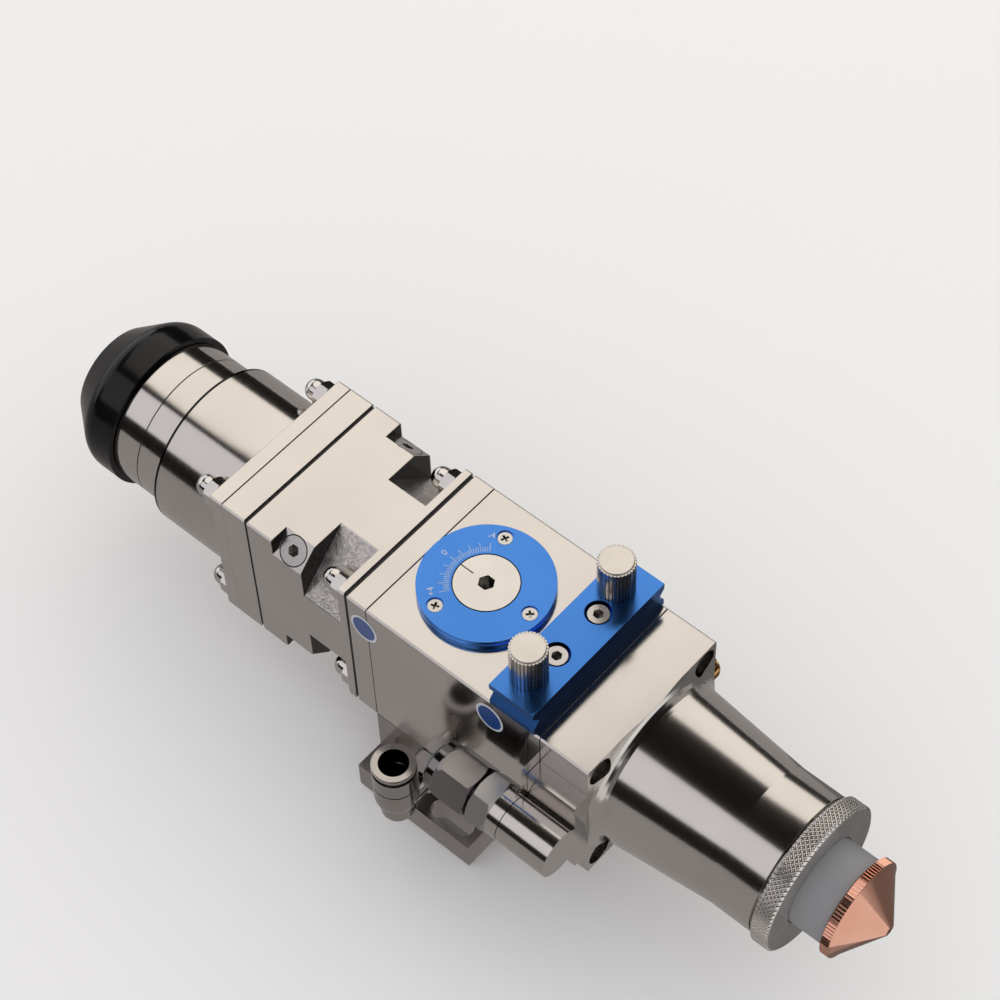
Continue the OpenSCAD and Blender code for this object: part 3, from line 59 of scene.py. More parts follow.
class Axis(Enum):
    """Lines that pieces are turned about: a point on the line, and the index of its direction."""

    BEAM = ((0.0, 0.0, 50.0), 0)
    DIAL = ((-0.85, 0.0, 0.0), 2)
    THUMB_LEFT = ((27.8, -16.7, 0.0), 2)
    THUMB_RIGHT = ((27.8, 16.7, 0.0), 2)
    GAS = ((0.0, -35.5, 50.0), 0)
    ELBOW = ((0.0, -39.0, 0.0), 2)
    SENSOR = ((45.85, 0.0, 50.0), 1)


class Signal:
    """A shader socket that takes part in Python arithmetic."""

    def __init__(self, graph: Graph, socket: bpy.types.NodeSocket) -> None:
        """Keeps the socket and the graph that it is in."""
        self.graph = graph
        self.socket = socket

    def _math(self, operation: str, *values: Signal | float) -> Signal:
        """Adds one Math node.

        Args:
            operation: Blender's name of the operation.
            values: the operands, sockets or numbers.

        Returns:
            The node's result.
        """
        return self.graph.node("ShaderNodeMath", {"operation": operation}, dict(enumerate(values)))

    def __add__(self, other: Signal | float) -> Signal:
        """Sum."""
        return self._math("ADD", self, other)

    def __radd__(self, other: float) -> Signal:
        """Sum with a number on the left."""
        return self._math("ADD", other, self)

    def __sub__(self, other: Signal | float) -> Signal:
        """Difference."""
        return self._math("SUBTRACT", self, other)

    def __rsub__(self, other: float) -> Signal:
        """Difference from a number on the left."""
        return self._math("SUBTRACT", other, self)

    def __mul__(self, other: Signal | float) -> Signal:
        """Product."""
        return self._math("MULTIPLY", self, other)

    def __rmul__(self, other: float) -> Signal:
        """Product with a number on the left."""
        return self._math("MULTIPLY", other, self)

    def __pow__(self, other: Signal | float) -> Signal:
        """Power."""
        return self._math("POWER", self, other)

    def __abs__(self) -> Signal:
        """Size without sign."""
        return self._math("ABSOLUTE", self)

    def most(self, other: Signal | float) -> Signal:
        """The larger of two values."""
        return self._math("MAXIMUM", self, other)

    def fade(self, low: float, high: float) -> Signal:
        """Smooth step.

        Args:
            low: the value that gives 0.
            high: the value that gives 1.

        Returns:
            The stepped value.
        """
        return self.graph.node(
            "ShaderNodeMapRange",
            {"interpolation_type": "SMOOTHSTEP"},
            {"Value": self, "From Min": low, "From Max": high},
        )


class Graph:
    """The node tree of one material or world, and the ways to add to it."""

    def __init__(self, tree: bpy.types.NodeTree) -> None:
        """Clears the tree.

        Args:
            tree: the node tree to fill.
        """
        self.tree = tree
        tree.nodes.clear()

    def feed(self, socket: bpy.types.NodeSocket, value: Any) -> None:
        """Links a signal to a socket, or sets the socket's own value.

        Args:
            socket: the input to feed.
            value: a Signal, a number, a vector or a colour without alpha.
        """
        if isinstance(value, Signal):
            self.tree.links.new(value.socket, socket)
        elif socket.type == "RGBA":
            socket.default_value = (*value[:3], 1.0)
        else:
            socket.default_value = value

    def node(
        self,
        kind: str,
        settings: dict[str, Any] | None = None,
        inputs: dict[int | str, Any] | None = None,
        output: int | str = 0,
    ) -> Signal:
        """Adds a node of any type.

        Args:
            kind: Blender's name of the node type.
            settings: properties that are set before the sockets.
            inputs: values or links of its sockets, by name or index.
            output: the output that is wanted.

        Returns:
            That output, or the first input of a node that has no output.
        """
        made = self.tree.nodes.new(kind)
        for key, value in (settings or {}).items():
            setattr(made, key, value)
        for key, value in (inputs or {}).items():
            self.feed(made.inputs[key], value)
        return Signal(self, (made.outputs or made.inputs)[output])

    def place(self) -> Signal:
        """The surface point in the CAD frame, which rides with the piece."""
        return self.node("ShaderNodeTexCoord", output="Object")

    def part(self, at: Signal, index: int) -> Signal:
        """One coordinate of a place: 0, 1 or 2 for X, Y or Z."""
        return self.node("ShaderNodeSeparateXYZ", None, {0: at}, index)

    def noise(
        self, at: Signal, scale: float, detail: float = 2.0, stretch: Point = (1.0, 1.0, 1.0)
    ) -> Signal:
        """Smooth random values.

        Args:
            at: the place to read.
            scale: waves per metre.
            detail: octaves.
            stretch: factors of the three directions.

        Returns:
            A value from 0 to 1.
        """
        if stretch != (1.0, 1.0, 1.0):
            at = self.node("ShaderNodeVectorMath", {"operation": "MULTIPLY"}, {0: at, 1: stretch})
        return self.node("ShaderNodeTexNoise", None, {"Vector": at, "Scale": scale, "Detail": detail})

    def mix(self, share: Signal | float, first: Any, second: Any) -> Signal:
        """Colour between two colours.

        Args:
            share: 0 for the first and 1 for the second.
            first: a colour or a colour signal.
            second: a colour or a colour signal.

        Returns:
            The mixed colour.
        """
        return self.node("ShaderNodeMix", {"data_type": "RGBA"}, {0: share, 6: first, 7: second}, 2)

    def turned(self, axis: Axis) -> tuple[Signal, Signal]:
        """Place along a turning axis and distance from it.

        Args:
            axis: the line.

        Returns:
            The two lengths in metres.
        """
        point, along = axis.value
        parts = [self.part(self.place(), i) for i in range(3)]
        across = [parts[i] - point[i] * MM for i in range(3) if i != along]
        return parts[along], (across[0] * across[0] + across[1] * across[1]) ** 0.5

    def openness(self, reach: float) -> Signal:
        """How open the surface lies.

        Args:
            reach: how far away walls are looked for, in millimetres.

        Returns:
            1 on an open face, less in seams, sockets and knurls.
        """
        return self.node("ShaderNodeAmbientOcclusion", {"samples": 6}, {"Distance": reach * MM}, "AO")

    def bump(self, height: Signal, strength: float, depth: float, edge_r: float) -> Signal:
        """Surface normal with fine relief and slightly rounded edges.

        Args:
            height: the relief.
            strength: how much of it shows.
            depth: height of the relief in millimetres.
            edge_r: radius that edges look rounded by, in millimetres.

        Returns:
            The normal.
        """
        soft = self.node("ShaderNodeBevel", {"samples": 4}, {"Radius": edge_r * MM})
        return self.node(
            "ShaderNodeBump",
            None,
            {"Strength": strength, "Distance": depth * MM, "Height": height, "Normal": soft},
        )


@dataclass(frozen=True)
class Finish:
    """A procedural finish: the shader's constants and what varies over the surface."""

    name: str
    colour: Colour
    tint: Colour
    roughness: float
    metallic: float = 0.0
    coat: float = 0.0
    transmission: float = 0.0
    specular: float = 0.5
    edge_r: float = 0.12
    # painted shade in hollows: how dark it gets, and how far away walls are looked for, in millimetres
    hollow_shade: float = 0.0
    hollow_shade_reach: float = 1.2

    def dimmed(self, share: float) -> Colour:
        """The finish's first colour times a share."""
        red, green, blue = self.colour
        return share * red, share * green, share * blue

    def shade(self, graph: Graph, share: Signal) -> Signal:
        """Colour between the finish's two colours, with painted shade darkening seams, sockets, pits and other
        hollows.

        Args:
            graph: the material's nodes.
            share: 0 for the first colour and 1 for the second.

        Returns:
            The colour.
        """
        plain = graph.mix(share, self.colour, self.tint)
        if self.hollow_shade == 0.0:
            return plain
        # painted shade: ambient occlusion darkens the colour in seams, sockets and knurl pits
        unshaded = graph.openness(self.hollow_shade_reach).fade(0.05, 0.6)
        return graph.mix(unshaded, self.dimmed(1.0 - self.hollow_shade), plain)

    def vary(self, graph: Graph) -> dict[str, Signal]:
        """What changes over the surface, by the shader's socket.

        Args:
            graph: the material's nodes.

        Returns:
            Signals by socket name.
        """
        clouds = graph.noise(graph.place(), 45.0, 3.0)
        return {
            "Base Color": self.shade(graph, clouds.fade(0.3, 0.7)),
            "Roughness": self.roughness + 0.06 * (clouds - 0.5),
        }

    def material(self) -> bpy.types.Material:
        """The finish as a Blender material, made once.

        Returns:
            The material.
        """
        label = f"look_{self.name}"
        known = bpy.data.materials.get(label)
        if known is not None:
            return known
        made = bpy.data.materials.new(label)
        made.use_nodes = True
        made.diffuse_color = (*self.colour, 1.0)
        graph = Graph(made.node_tree)
        sockets: dict[str, Any] = {
            "Metallic": self.metallic,
            "Coat Weight": self.coat,
            "Coat Roughness": 0.05,
            "Transmission Weight": self.transmission,
            "Specular IOR Level": self.specular,
        }
        shader = graph.node("ShaderNodeBsdfPrincipled", None, {**sockets, **self.vary(graph)})
        graph.node("ShaderNodeOutputMaterial", None, {"Surface": shader})
        return made


@dataclass(frozen=True)
class GroundMetal(Finish):
    """Plated metal with fine grinding marks along one direction, faint clouds of stain and painted shade along the
    seams.
    """

    metallic: float = 1.0
    seams: tuple[float, ...] = ()
    seam_w: float = 0.3
    seam_shade_share: float = 0.12
    grain: Point = (1.0, 14.0, 14.0)
    grain_scale: float = 420.0
    relief: float = 0.05

    def lined(self, graph: Graph, plain: Signal) -> Signal:
        """Colour with a thin line of painted shade where the piece meets the next one.

        Args:
            graph: the material's nodes.
            plain: the colour beside the lines.

        Returns:
            The colour.
        """
        along = graph.part(graph.place(), 0)
        # painted shade: a thin dark line at each joint station, where the gap between the parts lies in shade
        for station in self.seams:
            beside = abs(along - station * MM).fade(0.3 * self.seam_w * MM, 0.6 * self.seam_w * MM)
            plain = graph.mix(beside, self.dimmed(self.seam_shade_share), plain)
        return plain

    def vary(self, graph: Graph) -> dict[str, Signal]:
        """Clouds in colour and gloss, and the grinding marks.

        Args:
            graph: the material's nodes.

        Returns:
            Signals by socket name.
        """
        at = graph.place()
        clouds = graph.noise(at, 38.0, 3.0)
        marks = graph.noise(at, self.grain_scale, 2.0, self.grain)
        return {
            "Base Color": self.lined(graph, self.shade(graph, clouds.fade(0.3, 0.72))),
            "Roughness": self.roughness + 0.05 * (clouds - 0.5) + 0.05 * (marks - 0.5),
            "Normal": graph.bump(marks, self.relief, 0.01, self.edge_r),
        }


@dataclass(frozen=True)
class PocketedMetal(GroundMetal):
    """Ground metal whose corner pockets are left as the cutter made them, with painted shade on the pockets' end
    walls.
    """

    axis_z: float = 50.0
    half_w: float = 25.0
    pocket_leg: float = 16.0
    mill_scale: float = 520.0
    mill_roughness: float = 0.22
    mill_depth: float = 0.1
    mill_shares: tuple[float, float] = (0.76, 1.22)
    wall_x: tuple[float, ...] = (-52.95, -42.95)
    wall_shade_share: float = 0.05

    def vary(self, graph: Graph) -> dict[str, Signal]:
        """The ground finish, with crossing cutter marks on the pockets' slanted floors.

        Args:
            graph: the material's nodes.

        Returns:
            Signals by socket name.
        """
        at = graph.place()
        side = abs(graph.part(at, 1))
        up = abs(graph.part(at, 2) - self.axis_z * MM)
        floor = (2 * self.half_w - self.pocket_leg) * MM
        outside = (side + up).fade(floor + 0.2 * MM, floor + 0.5 * MM)
        on_sides = side.most(up).fade((self.half_w - 0.3) * MM, (self.half_w - 0.1) * MM)
        milled = 1.0 - outside.most(on_sides)
        swirl = graph.node(
            "ShaderNodeTexNoise", None,
            {"Vector": at, "Scale": self.mill_scale, "Detail": 5.0, "Roughness": 0.75, "Distortion": 2.2},
        )
        clouds = graph.noise(at, 38.0, 3.0)
        marks = graph.noise(at, self.grain_scale, 2.0, self.grain)
        gloss = self.roughness + 0.05 * (clouds - 0.5) + 0.05 * (marks - 0.5)
        rough = self.mill_roughness + 0.3 * (swirl - 0.5)
        relief = marks * (1.0 - milled) * (0.2 * self.relief) + swirl * milled
        colour = self.shade(graph, clouds.fade(0.3, 0.72))
        dark, bright = (self.dimmed(share) for share in self.mill_shares)
        colour = graph.mix(milled, colour, graph.mix(swirl.fade(0.3, 0.62), dark, bright))
        along = graph.part(at, 0)
        # painted shade: the pockets' end walls are darkened where they lie in shade
        for wall in self.wall_x:
            beside = abs(along - wall * MM).fade(0.06 * MM, 0.14 * MM).most(on_sides)
            colour = graph.mix(beside, self.dimmed(self.wall_shade_share), colour)
        return {
            "Base Color": colour,
            "Roughness": gloss * (1.0 - milled) + rough * milled,
            "Normal": graph.bump(relief, 1.0, self.mill_depth, self.edge_r),
        }


@dataclass(frozen=True)
class TurnedMetal(Finish):
    """Metal with the rings that a lathe leaves, and where stated a painted shadow line or painted shade down a
    bore.
    """

    metallic: float = 1.0
    axis: Axis = Axis.BEAM
    ring_scale: float = 2600.0
    relief: float = 0.06
    shadow_line_x: float = 0.0
    line_w: float = 0.0
    shadow_line_share: float = 0.04
    bore_r: float = 0.0
    bore_from: float = 0.0
    bore_shade_share: float = 0.03

    def vary(self, graph: Graph) -> dict[str, Signal]:
        """Rings in gloss and relief, and faint clouds in colour.

        Args:
            graph: the material's nodes.

        Returns:
            Signals by socket name.
        """
        along, out = graph.turned(self.axis)
        lathe = graph.node("ShaderNodeCombineXYZ", None, {0: along, 1: out})
        rings = graph.noise(lathe, self.ring_scale, 1.0)
        clouds = graph.noise(graph.place(), 50.0, 3.0)
        colour = self.shade(graph, clouds.fade(0.3, 0.7))
        # painted shadow: a dark band at the step where the barrel meets the sleeve, standing for the shadow gap
        # there
        if self.line_w > 0.0:
            beside = abs(along - self.shadow_line_x * MM).fade(0.85 * self.line_w * MM, self.line_w * MM)
            colour = graph.mix(beside, self.dimmed(self.shadow_line_share), colour)
        # painted shade: the inside of the bore is darkened
        if self.bore_r > 0.0:
            shut = 1.0 - along.fade(self.bore_from * MM, (self.bore_from + 0.5) * MM)
            open_air = out.fade((self.bore_r - 0.05) * MM, (self.bore_r + 0.1) * MM).most(shut)
            colour = graph.mix(open_air, self.dimmed(self.bore_shade_share), colour)
        return {
            "Base Color": colour,
            "Roughness": self.roughness + 0.05 * (rings - 0.5) + 0.03 * (clouds - 0.5),
            "Normal": graph.bump(rings, self.relief, 0.01, self.edge_r),
        }


@dataclass(frozen=True)
class BlastedMetal(Finish):
    """Metal with an even matt grain, such as anodised or etched parts."""

    metallic: float = 1.0
    grain_scale: float = 5200.0
    relief: float = 0.12

    def vary(self, graph: Graph) -> dict[str, Signal]:
        """Grain in gloss and relief, and faint clouds in colour.

        Args:
            graph: the material's nodes.

        Returns:
            Signals by socket name.
        """
        at = graph.place()
        grain = graph.noise(at, self.grain_scale, 2.0)
        clouds = graph.noise(at, 60.0, 3.0)
        share = 0.7 * clouds.fade(0.3, 0.7) + 0.3 * grain
        return {
            "Base Color": self.shade(graph, share),
            "Roughness": self.roughness + 0.1 * (grain - 0.5),
            "Normal": graph.bump(grain, self.relief, 0.01, self.edge_r),
        }


@dataclass(frozen=True)
class Moulded(Finish):
    """Moulded or fired surface with a faint skin: plastic, rubber, ceramic or paint."""

    skin_scale: float = 900.0
    relief: float = 0.05

    def vary(self, graph: Graph) -> dict[str, Signal]:
        """Skin in gloss and relief, and faint clouds in colour.

        Args:
            graph: the material's nodes.

        Returns:
            Signals by socket name.
        """
        at = graph.place()
        skin = graph.noise(at, self.skin_scale, 3.0)
        clouds = graph.noise(at, 70.0, 3.0)
        return {
            "Base Color": self.shade(graph, clouds.fade(0.3, 0.7)),
            "Roughness": self.roughness + 0.08 * (clouds - 0.5) + 0.04 * (skin - 0.5),
            "Normal": graph.bump(skin, self.relief, 0.01, self.edge_r),
        }


@dataclass(frozen=True)
class OvalLabel(Finish):
    """Printed oval label: a dark field inside a pale rim."""

    centre: Point = (0.0, 0.0, 0.0)
    half_w: float = 4.4
    half_h: float = 4.8
    rim_share: float = 0.86

    def vary(self, graph: Graph) -> dict[str, Signal]:
        """Field and rim by the distance from the label's centre.

        Args:
            graph: the material's nodes.

        Returns:
            Signals by socket name.
        """
        at = graph.place()
        across = (graph.part(at, 0) - self.centre[0] * MM) * (1 / (self.half_w * MM))
        up = (graph.part(at, 2) - self.centre[2] * MM) * (1 / (self.half_h * MM))
        out = (across * across + up * up) ** 0.5
        clouds = graph.noise(at, 260.0, 2.0)
        rim = out.fade(self.rim_share - 0.03, self.rim_share + 0.03)
        return {
            "Base Color": graph.mix(rim, self.colour, self.tint),
            "Roughness": self.roughness + 0.1 * (clouds - 0.5),
        }


class Plating(Enum):
    """Finishes of the metal, plastic, ceramic and glass pieces."""

    GROUND = GroundMetal(
        "ground_nickel", (0.66, 0.632, 0.605), (0.62, 0.592, 0.565), 0.15, hollow_shade=0.75, seams=(-19.75, 34.05, 38.15)
    )
    POCKETED = PocketedMetal("pocketed_nickel", (0.66, 0.632, 0.605), (0.62, 0.592, 0.565), 0.15, hollow_shade=0.75)
    CROSS_GROUND = GroundMetal(
        "cross_ground_nickel", (0.66, 0.632, 0.605), (0.62, 0.592, 0.565), 0.15, hollow_shade=0.75, grain=(14.0, 14.0, 1.0),
        seams=(-70.85, 34.05, 38.15),
    )
    TURNED = TurnedMetal("turned_nickel", (0.66, 0.632, 0.605), (0.63, 0.602, 0.575), 0.13, hollow_shade=0.7)
    # the barrel carries a painted shadow line at its step
    BARREL = TurnedMetal(
        "turned_barrel", (0.66, 0.632, 0.605), (0.63, 0.602, 0.575), 0.13, hollow_shade=0.7, shadow_line_x=-100.35, line_w=0.8
    )
    KNOB = TurnedMetal(
        "turned_knob", (0.74, 0.72, 0.69), (0.68, 0.66, 0.63), 0.22, hollow_shade=0.9, hollow_shade_reach=4.0, axis=Axis.DIAL
    )
    THUMB_LEFT = TurnedMetal(
        "turned_thumb_left", (0.72, 0.69, 0.65), (0.66, 0.63, 0.59), 0.2, hollow_shade=0.6, axis=Axis.THUMB_LEFT
    )
    THUMB_RIGHT = TurnedMetal(
        "turned_thumb_right", (0.72, 0.69, 0.65), (0.66, 0.63, 0.59), 0.2, hollow_shade=0.6, axis=Axis.THUMB_RIGHT
    )
    # the elbow's bore is darkened as painted shade
    ELBOW = TurnedMetal(
        "turned_elbow", (0.48, 0.455, 0.435), (0.42, 0.40, 0.38), 0.12, hollow_shade=0.9, axis=Axis.ELBOW,
        bore_r=4.1, bore_from=18.0,
    )
    # painted shade: the bracket is a darkened copy of the ground nickel, for the foot that sits in shade
    SHADED_BRACKET = GroundMetal("bracket_nickel_shaded", (0.43, 0.405, 0.385), (0.36, 0.338, 0.32), 0.2, hollow_shade=0.75)
    CAP_NUT = GroundMetal("bright_cap_nut", (0.72, 0.70, 0.68), (0.66, 0.64, 0.62), 0.12, hollow_shade=0.6)
    KNURL = BlastedMetal("knurled_nickel", (0.80, 0.77, 0.74), (0.70, 0.67, 0.64), 0.24, hollow_shade=0.92, hollow_shade_reach=0.6)
    BLUE = BlastedMetal("blue_anodised", (0.078, 0.262, 0.77), (0.07, 0.245, 0.72), 0.24, hollow_shade=0.5)
    BLACK = Moulded("black_cap", (0.003, 0.003, 0.0033), (0.004, 0.004, 0.0043), 0.15, specular=0.28, relief=0.02)
    SEAL = Moulded("dark_seal", (0.02, 0.018, 0.016), (0.03, 0.027, 0.024), 0.55)
    DARK = BlastedMetal("dark_plate", (0.13, 0.13, 0.135), (0.10, 0.10, 0.105), 0.3)
    STEEL = BlastedMetal("screw_steel", (0.72, 0.70, 0.68), (0.62, 0.60, 0.58), 0.26, hollow_shade=0.92, hollow_shade_reach=2.2)
    FITTING = BlastedMetal("fitting_nut", (0.55, 0.54, 0.53), (0.44, 0.43, 0.42), 0.3, hollow_shade=0.6)
    SMOKED = GroundMetal("smoked_fitting", (0.26, 0.245, 0.245), (0.11, 0.105, 0.11), 0.11, hollow_shade=0.6)
    COPPER = TurnedMetal("turned_copper", (0.88, 0.48, 0.36), (0.82, 0.43, 0.31), 0.12, hollow_shade=0.3, hollow_shade_reach=0.5)
    CERAMIC = Moulded("matt_ceramic", (0.29, 0.288, 0.30), (0.265, 0.263, 0.275), 0.5, relief=0.15)
    GOLD = GroundMetal("gold_plate", (0.55, 0.30, 0.12), (0.50, 0.27, 0.10), 0.2, hollow_shade=0.5)
    GREEN = Moulded("release_green", (0.008, 0.16, 0.10), (0.010, 0.19, 0.12), 0.35)
    GLASS = Finish("lens_glass", (0.92, 0.96, 0.97), (0.88, 0.94, 0.97), 0.04, transmission=1.0)
    WHITE = Moulded("white_fill", (0.60, 0.64, 0.70), (0.55, 0.59, 0.65), 0.5)
    INDEX = Moulded("dark_fill", (0.012, 0.012, 0.014), (0.018, 0.018, 0.02), 0.5)


class Part:
    """Common ways to make a piece and put it on a body."""

    def __init__(self, body: str, slot: str) -> None:
        """Keeps where the pieces ride.

        Args:
            body: the CAD body.
            slot: the record's material slot; kept, but not used.
        """
        self.body = body
        self.slot = slot

    def put(self, name: str, mesh: bpy.types.Mesh, finish: Finish) -> bpy.types.Object:
        """Adds a mesh to the scene as a piece.

        Args:
            name: the piece's name.
            mesh: its mesh, in metres in the CAD frame.
            finish: what it is made of.

        Returns:
            The object.
        """
        made = bpy.data.objects.new(name, mesh)
        bpy.context.scene.collection.objects.link(made)
        mesh.materials.clear()
        mesh.materials.append(finish.material())
        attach(made, self.body)
        LOG.info("%s rides on %s: %d faces", name, self.body, len(mesh.polygons))
        return made


def mesh_of(name: str, points: Sequence[Point], faces: Iterable[Sequence[int]]) -> bpy.types.Mesh:
    """Closed mesh from points in millimetres.

    Args:
        name: the mesh's name.
        points: its corners.
        faces: corner numbers of each face.

    Returns:
        The mesh, in metres, with its normals outwards.
    """
    shape = bmesh.new()
    corners = [shape.verts.new(Vector(p) * MM) for p in points]
    for face in faces:
        shape.faces.new([corners[i] for i in face])
    bmesh.ops.recalc_face_normals(shape, faces=shape.faces[:])
    made = bpy.data.meshes.new(name)
    shape.to_mesh(made)
    shape.free()
    return made


@dataclass
class KnurledNut:
    """Retaining nut with a diamond knurl cut into its rim."""

    x0: float = 101.45
    x1: float = 106.85
    r: float = 21.5
    bevel: float = 0.5
    thread_r: float = 17.55
    lip_r: float = 12.8
    lip_x: float = 105.3
    axis_z: float = 50.0
    columns: int = 90
    rows: int = 3
    depth: float = 0.5
    net_share: float = 0.2

    def ring(self, x: float, radii: Sequence[float]) -> list[Point]:
        """Points round the beam axis.

        Args:
            x: station along the beam.
            radii: one radius for each point.

        Returns:
            The points.
        """
        step = math.tau / len(radii)
        return [(x, r * math.sin(i * step), self.axis_z + r * math.cos(i * step)) for i, r in enumerate(radii)]

    def sunk(self, across: int, along: int) -> float:
        """Depth of the knurl at a quarter step of its pitch.

        Args:
            across: quarter steps round the rim, 0 to 3.
            along: quarter steps along the beam, 0 to 3.

        Returns:
            How far the point lies under the rim.
        """
        corner = min(across, 4 - across) + min(along, 4 - along)
        middle = abs(across - 2) + abs(along - 2)
        return (self.depth, self.net_share * self.depth, 0.0)[min(corner, middle)]

    def build(self) -> bpy.types.Mesh:
        """Net of ridges round staggered pits between two bevels, faces, thread and lip.

        Returns:
            The mesh.
        """
        count = 4 * self.columns
        first, last = self.x0 + self.bevel, self.x1 - self.bevel
        step = (last - first) / (4 * self.rows)
        points: list[Point] = []
        for k in range(4 * self.rows + 1):
            points += self.ring(first + k * step, [self.r - self.sunk(i % 4, k % 4) for i in range(count)])
        faces: list[Sequence[int]] = []
        for k in range(4 * self.rows):
            for i in range(count):
                a, b = k * count + i, k * count + (i + 1) % count
                c, d = a + count, b + count
                faces += [(a, b, c), (b, d, c)] if (i + k) % 2 == 0 else [(a, b, d), (a, d, c)]
        inner = [
            (self.x1, self.r - self.bevel - self.depth / 2), (self.x1, self.lip_r), (self.lip_x, self.lip_r),
            (self.lip_x, self.thread_r), (self.x0, self.thread_r), (self.x0, self.r - self.bevel - self.depth / 2),
        ]
        start = 4 * self.rows * count
        for x, r in inner:
            base = len(points)
            points += self.ring(x, [r] * count)
            faces += [
                (start + i, start + (i + 1) % count, base + (i + 1) % count, base + i) for i in range(count)
            ]
            start = base
        faces += [(start + i, start + (i + 1) % count, (i + 1) % count, i) for i in range(count)]
        return mesh_of("retaining_nut_knurl", points, faces)

    def dress(self) -> None:
        """Puts the nut in place of its plain CAD node."""
        made = Part("retaining_nut", "bright_nickel").put("retaining_nut_knurl", self.build(), Plating.KNURL.value)
        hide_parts("retaining_nut")


@dataclass
class DialMarks:
    """Printed scale on the ring round the focus knob, and the knob's filled index line."""

    centre: tuple[float, float] = (-0.85, 0.0)
    face_z: float = 77.5
    inner_r: float = 9.5
    short_r: float = 11.0
    long_r: float = 12.3
    line_w: float = 0.16
    proud: float = 0.02
    span: float = 54.0
    steps: int = 32
    numerals: dict[str, tuple[float, float]] = field(
        default_factory=lambda: {"0": (180.0, 14.2), "-4": (126.0, 14.5), "+4": (231.0, 14.2)}
    )
    numeral_h: float = 1.9
    font_share: float = 1.35
    index_r0: float = 4.45
    index_r1: float = 8.5
    index_w: float = 0.26
    index_low: float = 0.3
    index_high: float = 0.12

    def at(self, angle: float, r: float, side: float, z: float) -> Point:
        """Place on the dial.

        Args:
            angle: degrees from +X.
            r: distance from the dial's centre.
            side: offset across that radius.
            z: height.

        Returns:
            The point.
        """
        turn = math.radians(angle)
        along, across = (math.cos(turn), math.sin(turn)), (-math.sin(turn), math.cos(turn))
        return (
            self.centre[0] + r * along[0] + side * across[0], self.centre[1] + r * along[1] + side * across[1], z
        )

    def bars(
        self, name: str, marks: Iterable[tuple[float, float, float, float]], z0: float, z1: float
    ) -> bpy.types.Mesh:
        """Thin bars that lie along radii.

        Args:
            name: the mesh's name.
            marks: angle, inner radius, outer radius and width of each.
            z0: underside.
            z1: top.

        Returns:
            The mesh.
        """
        points: list[Point] = []
        faces: list[Sequence[int]] = []
        for angle, r0, r1, width in marks:
            base = len(points)
            corners = ((r0, -width / 2), (r1, -width / 2), (r1, width / 2), (r0, width / 2))
            points += [self.at(angle, r, s, z) for z in (z0, z1) for r, s in corners]
            faces += [[base + i for i in quad] for quad in (
                (3, 2, 1, 0), (4, 5, 6, 7), (0, 1, 5, 4), (1, 2, 6, 5), (2, 3, 7, 6), (3, 0, 4, 7)
            )]
        return mesh_of(name, points, faces)

    def numeral(self, text: str, angle: float, r: float) -> bpy.types.Mesh:
        """One number, its head outwards.

        Args:
            text: what it says.
            angle: degrees from +X.
            r: distance of its middle from the dial's centre.

        Returns:
            The mesh.
        """
        curve = bpy.data.curves.new("numeral", "FONT")
        curve.body, curve.align_x, curve.align_y = text, "CENTER", "CENTER"
        curve.size, curve.extrude, curve.resolution_u = self.numeral_h * self.font_share * MM, self.proud * MM, 4
        holder = bpy.data.objects.new("numeral", curve)
        made = bpy.data.meshes.new_from_object(holder)
        bpy.data.objects.remove(holder)
        bpy.data.curves.remove(curve)
        place = Vector(self.at(angle, r, 0.0, self.face_z)) * MM
        made.transform(Matrix.Translation(place) @ Matrix.Rotation(math.radians(angle - 90.0), 4, "Z"))
        return made

    def dress(self) -> None:
        """Puts the marks on the ring and fills the index line."""
        printed = Part("housing", "screw_steel")
        step = 2 * self.span / self.steps
        marks = []
        for i in range(self.steps + 1):
            longer = i % 4 == 0
            outer = self.long_r if longer else self.short_r
            marks.append((180.0 - self.span + i * step, self.inner_r, outer, self.line_w))
        ticks = self.bars("scale_ticks", marks, self.face_z - self.proud, self.face_z + self.proud)
        printed.put("scale_ticks", ticks, Plating.WHITE.value)
        for place, (text, (angle, r)) in enumerate(self.numerals.items()):
            printed.put(f"scale_number_{place}", self.numeral(text, angle, r), Plating.WHITE.value)
        line = (180.0, self.index_r0, self.index_r1, self.index_w)
        fill = self.bars("index_fill", [line], self.face_z - self.index_low, self.face_z - self.index_high)
        Part("focus_knob", "dark_metal").put("index_fill", fill, Plating.INDEX.value)


@dataclass
class SideLabels:
    """Two plain oval labels on the housing's gas side."""

    side_y: float = -25.0
    thick: float = 0.06
    half_w: float = 4.4
    centres: tuple[tuple[float, float, float], ...] = ((-21.0, 65.5, 4.8), (21.7, 67.5, 5.0))
    around: int = 64

    def build(self, name: str, x: float, z: float, half_h: float) -> bpy.types.Mesh:
        """One thin oval plate.

        Args:
            name: the mesh's name.
            x: its middle along the beam.
            z: its middle's height.
            half_h: half its height.

        Returns:
            The mesh.
        """
        turns = [math.tau * i / self.around for i in range(self.around)]
        points = [
            (x + self.half_w * math.cos(t), self.side_y - y, z + half_h * math.sin(t))
            for y in (-self.thick / 2, self.thick)
            for t in turns
        ]
        n = self.around
        faces: list[Sequence[int]] = [tuple(range(n)), tuple(range(2 * n - 1, n - 1, -1))]
        faces += [(i, (i + 1) % n, n + (i + 1) % n, n + i) for i in range(n)]
        return mesh_of(name, points, faces)

    def dress(self) -> None:
        """Sticks the labels on."""
        for number, (x, z, half_h) in enumerate(self.centres):
            name = f"oval_label_{number}"
            print_finish = OvalLabel(
                name, (0.012, 0.05, 0.20), (0.55, 0.58, 0.62), 0.3, coat=0.3,
                centre=(x, self.side_y, z), half_w=self.half_w, half_h=half_h,
            )
            Part("housing", "blue_anodised").put(name, self.build(name, x, z, half_h), print_finish)


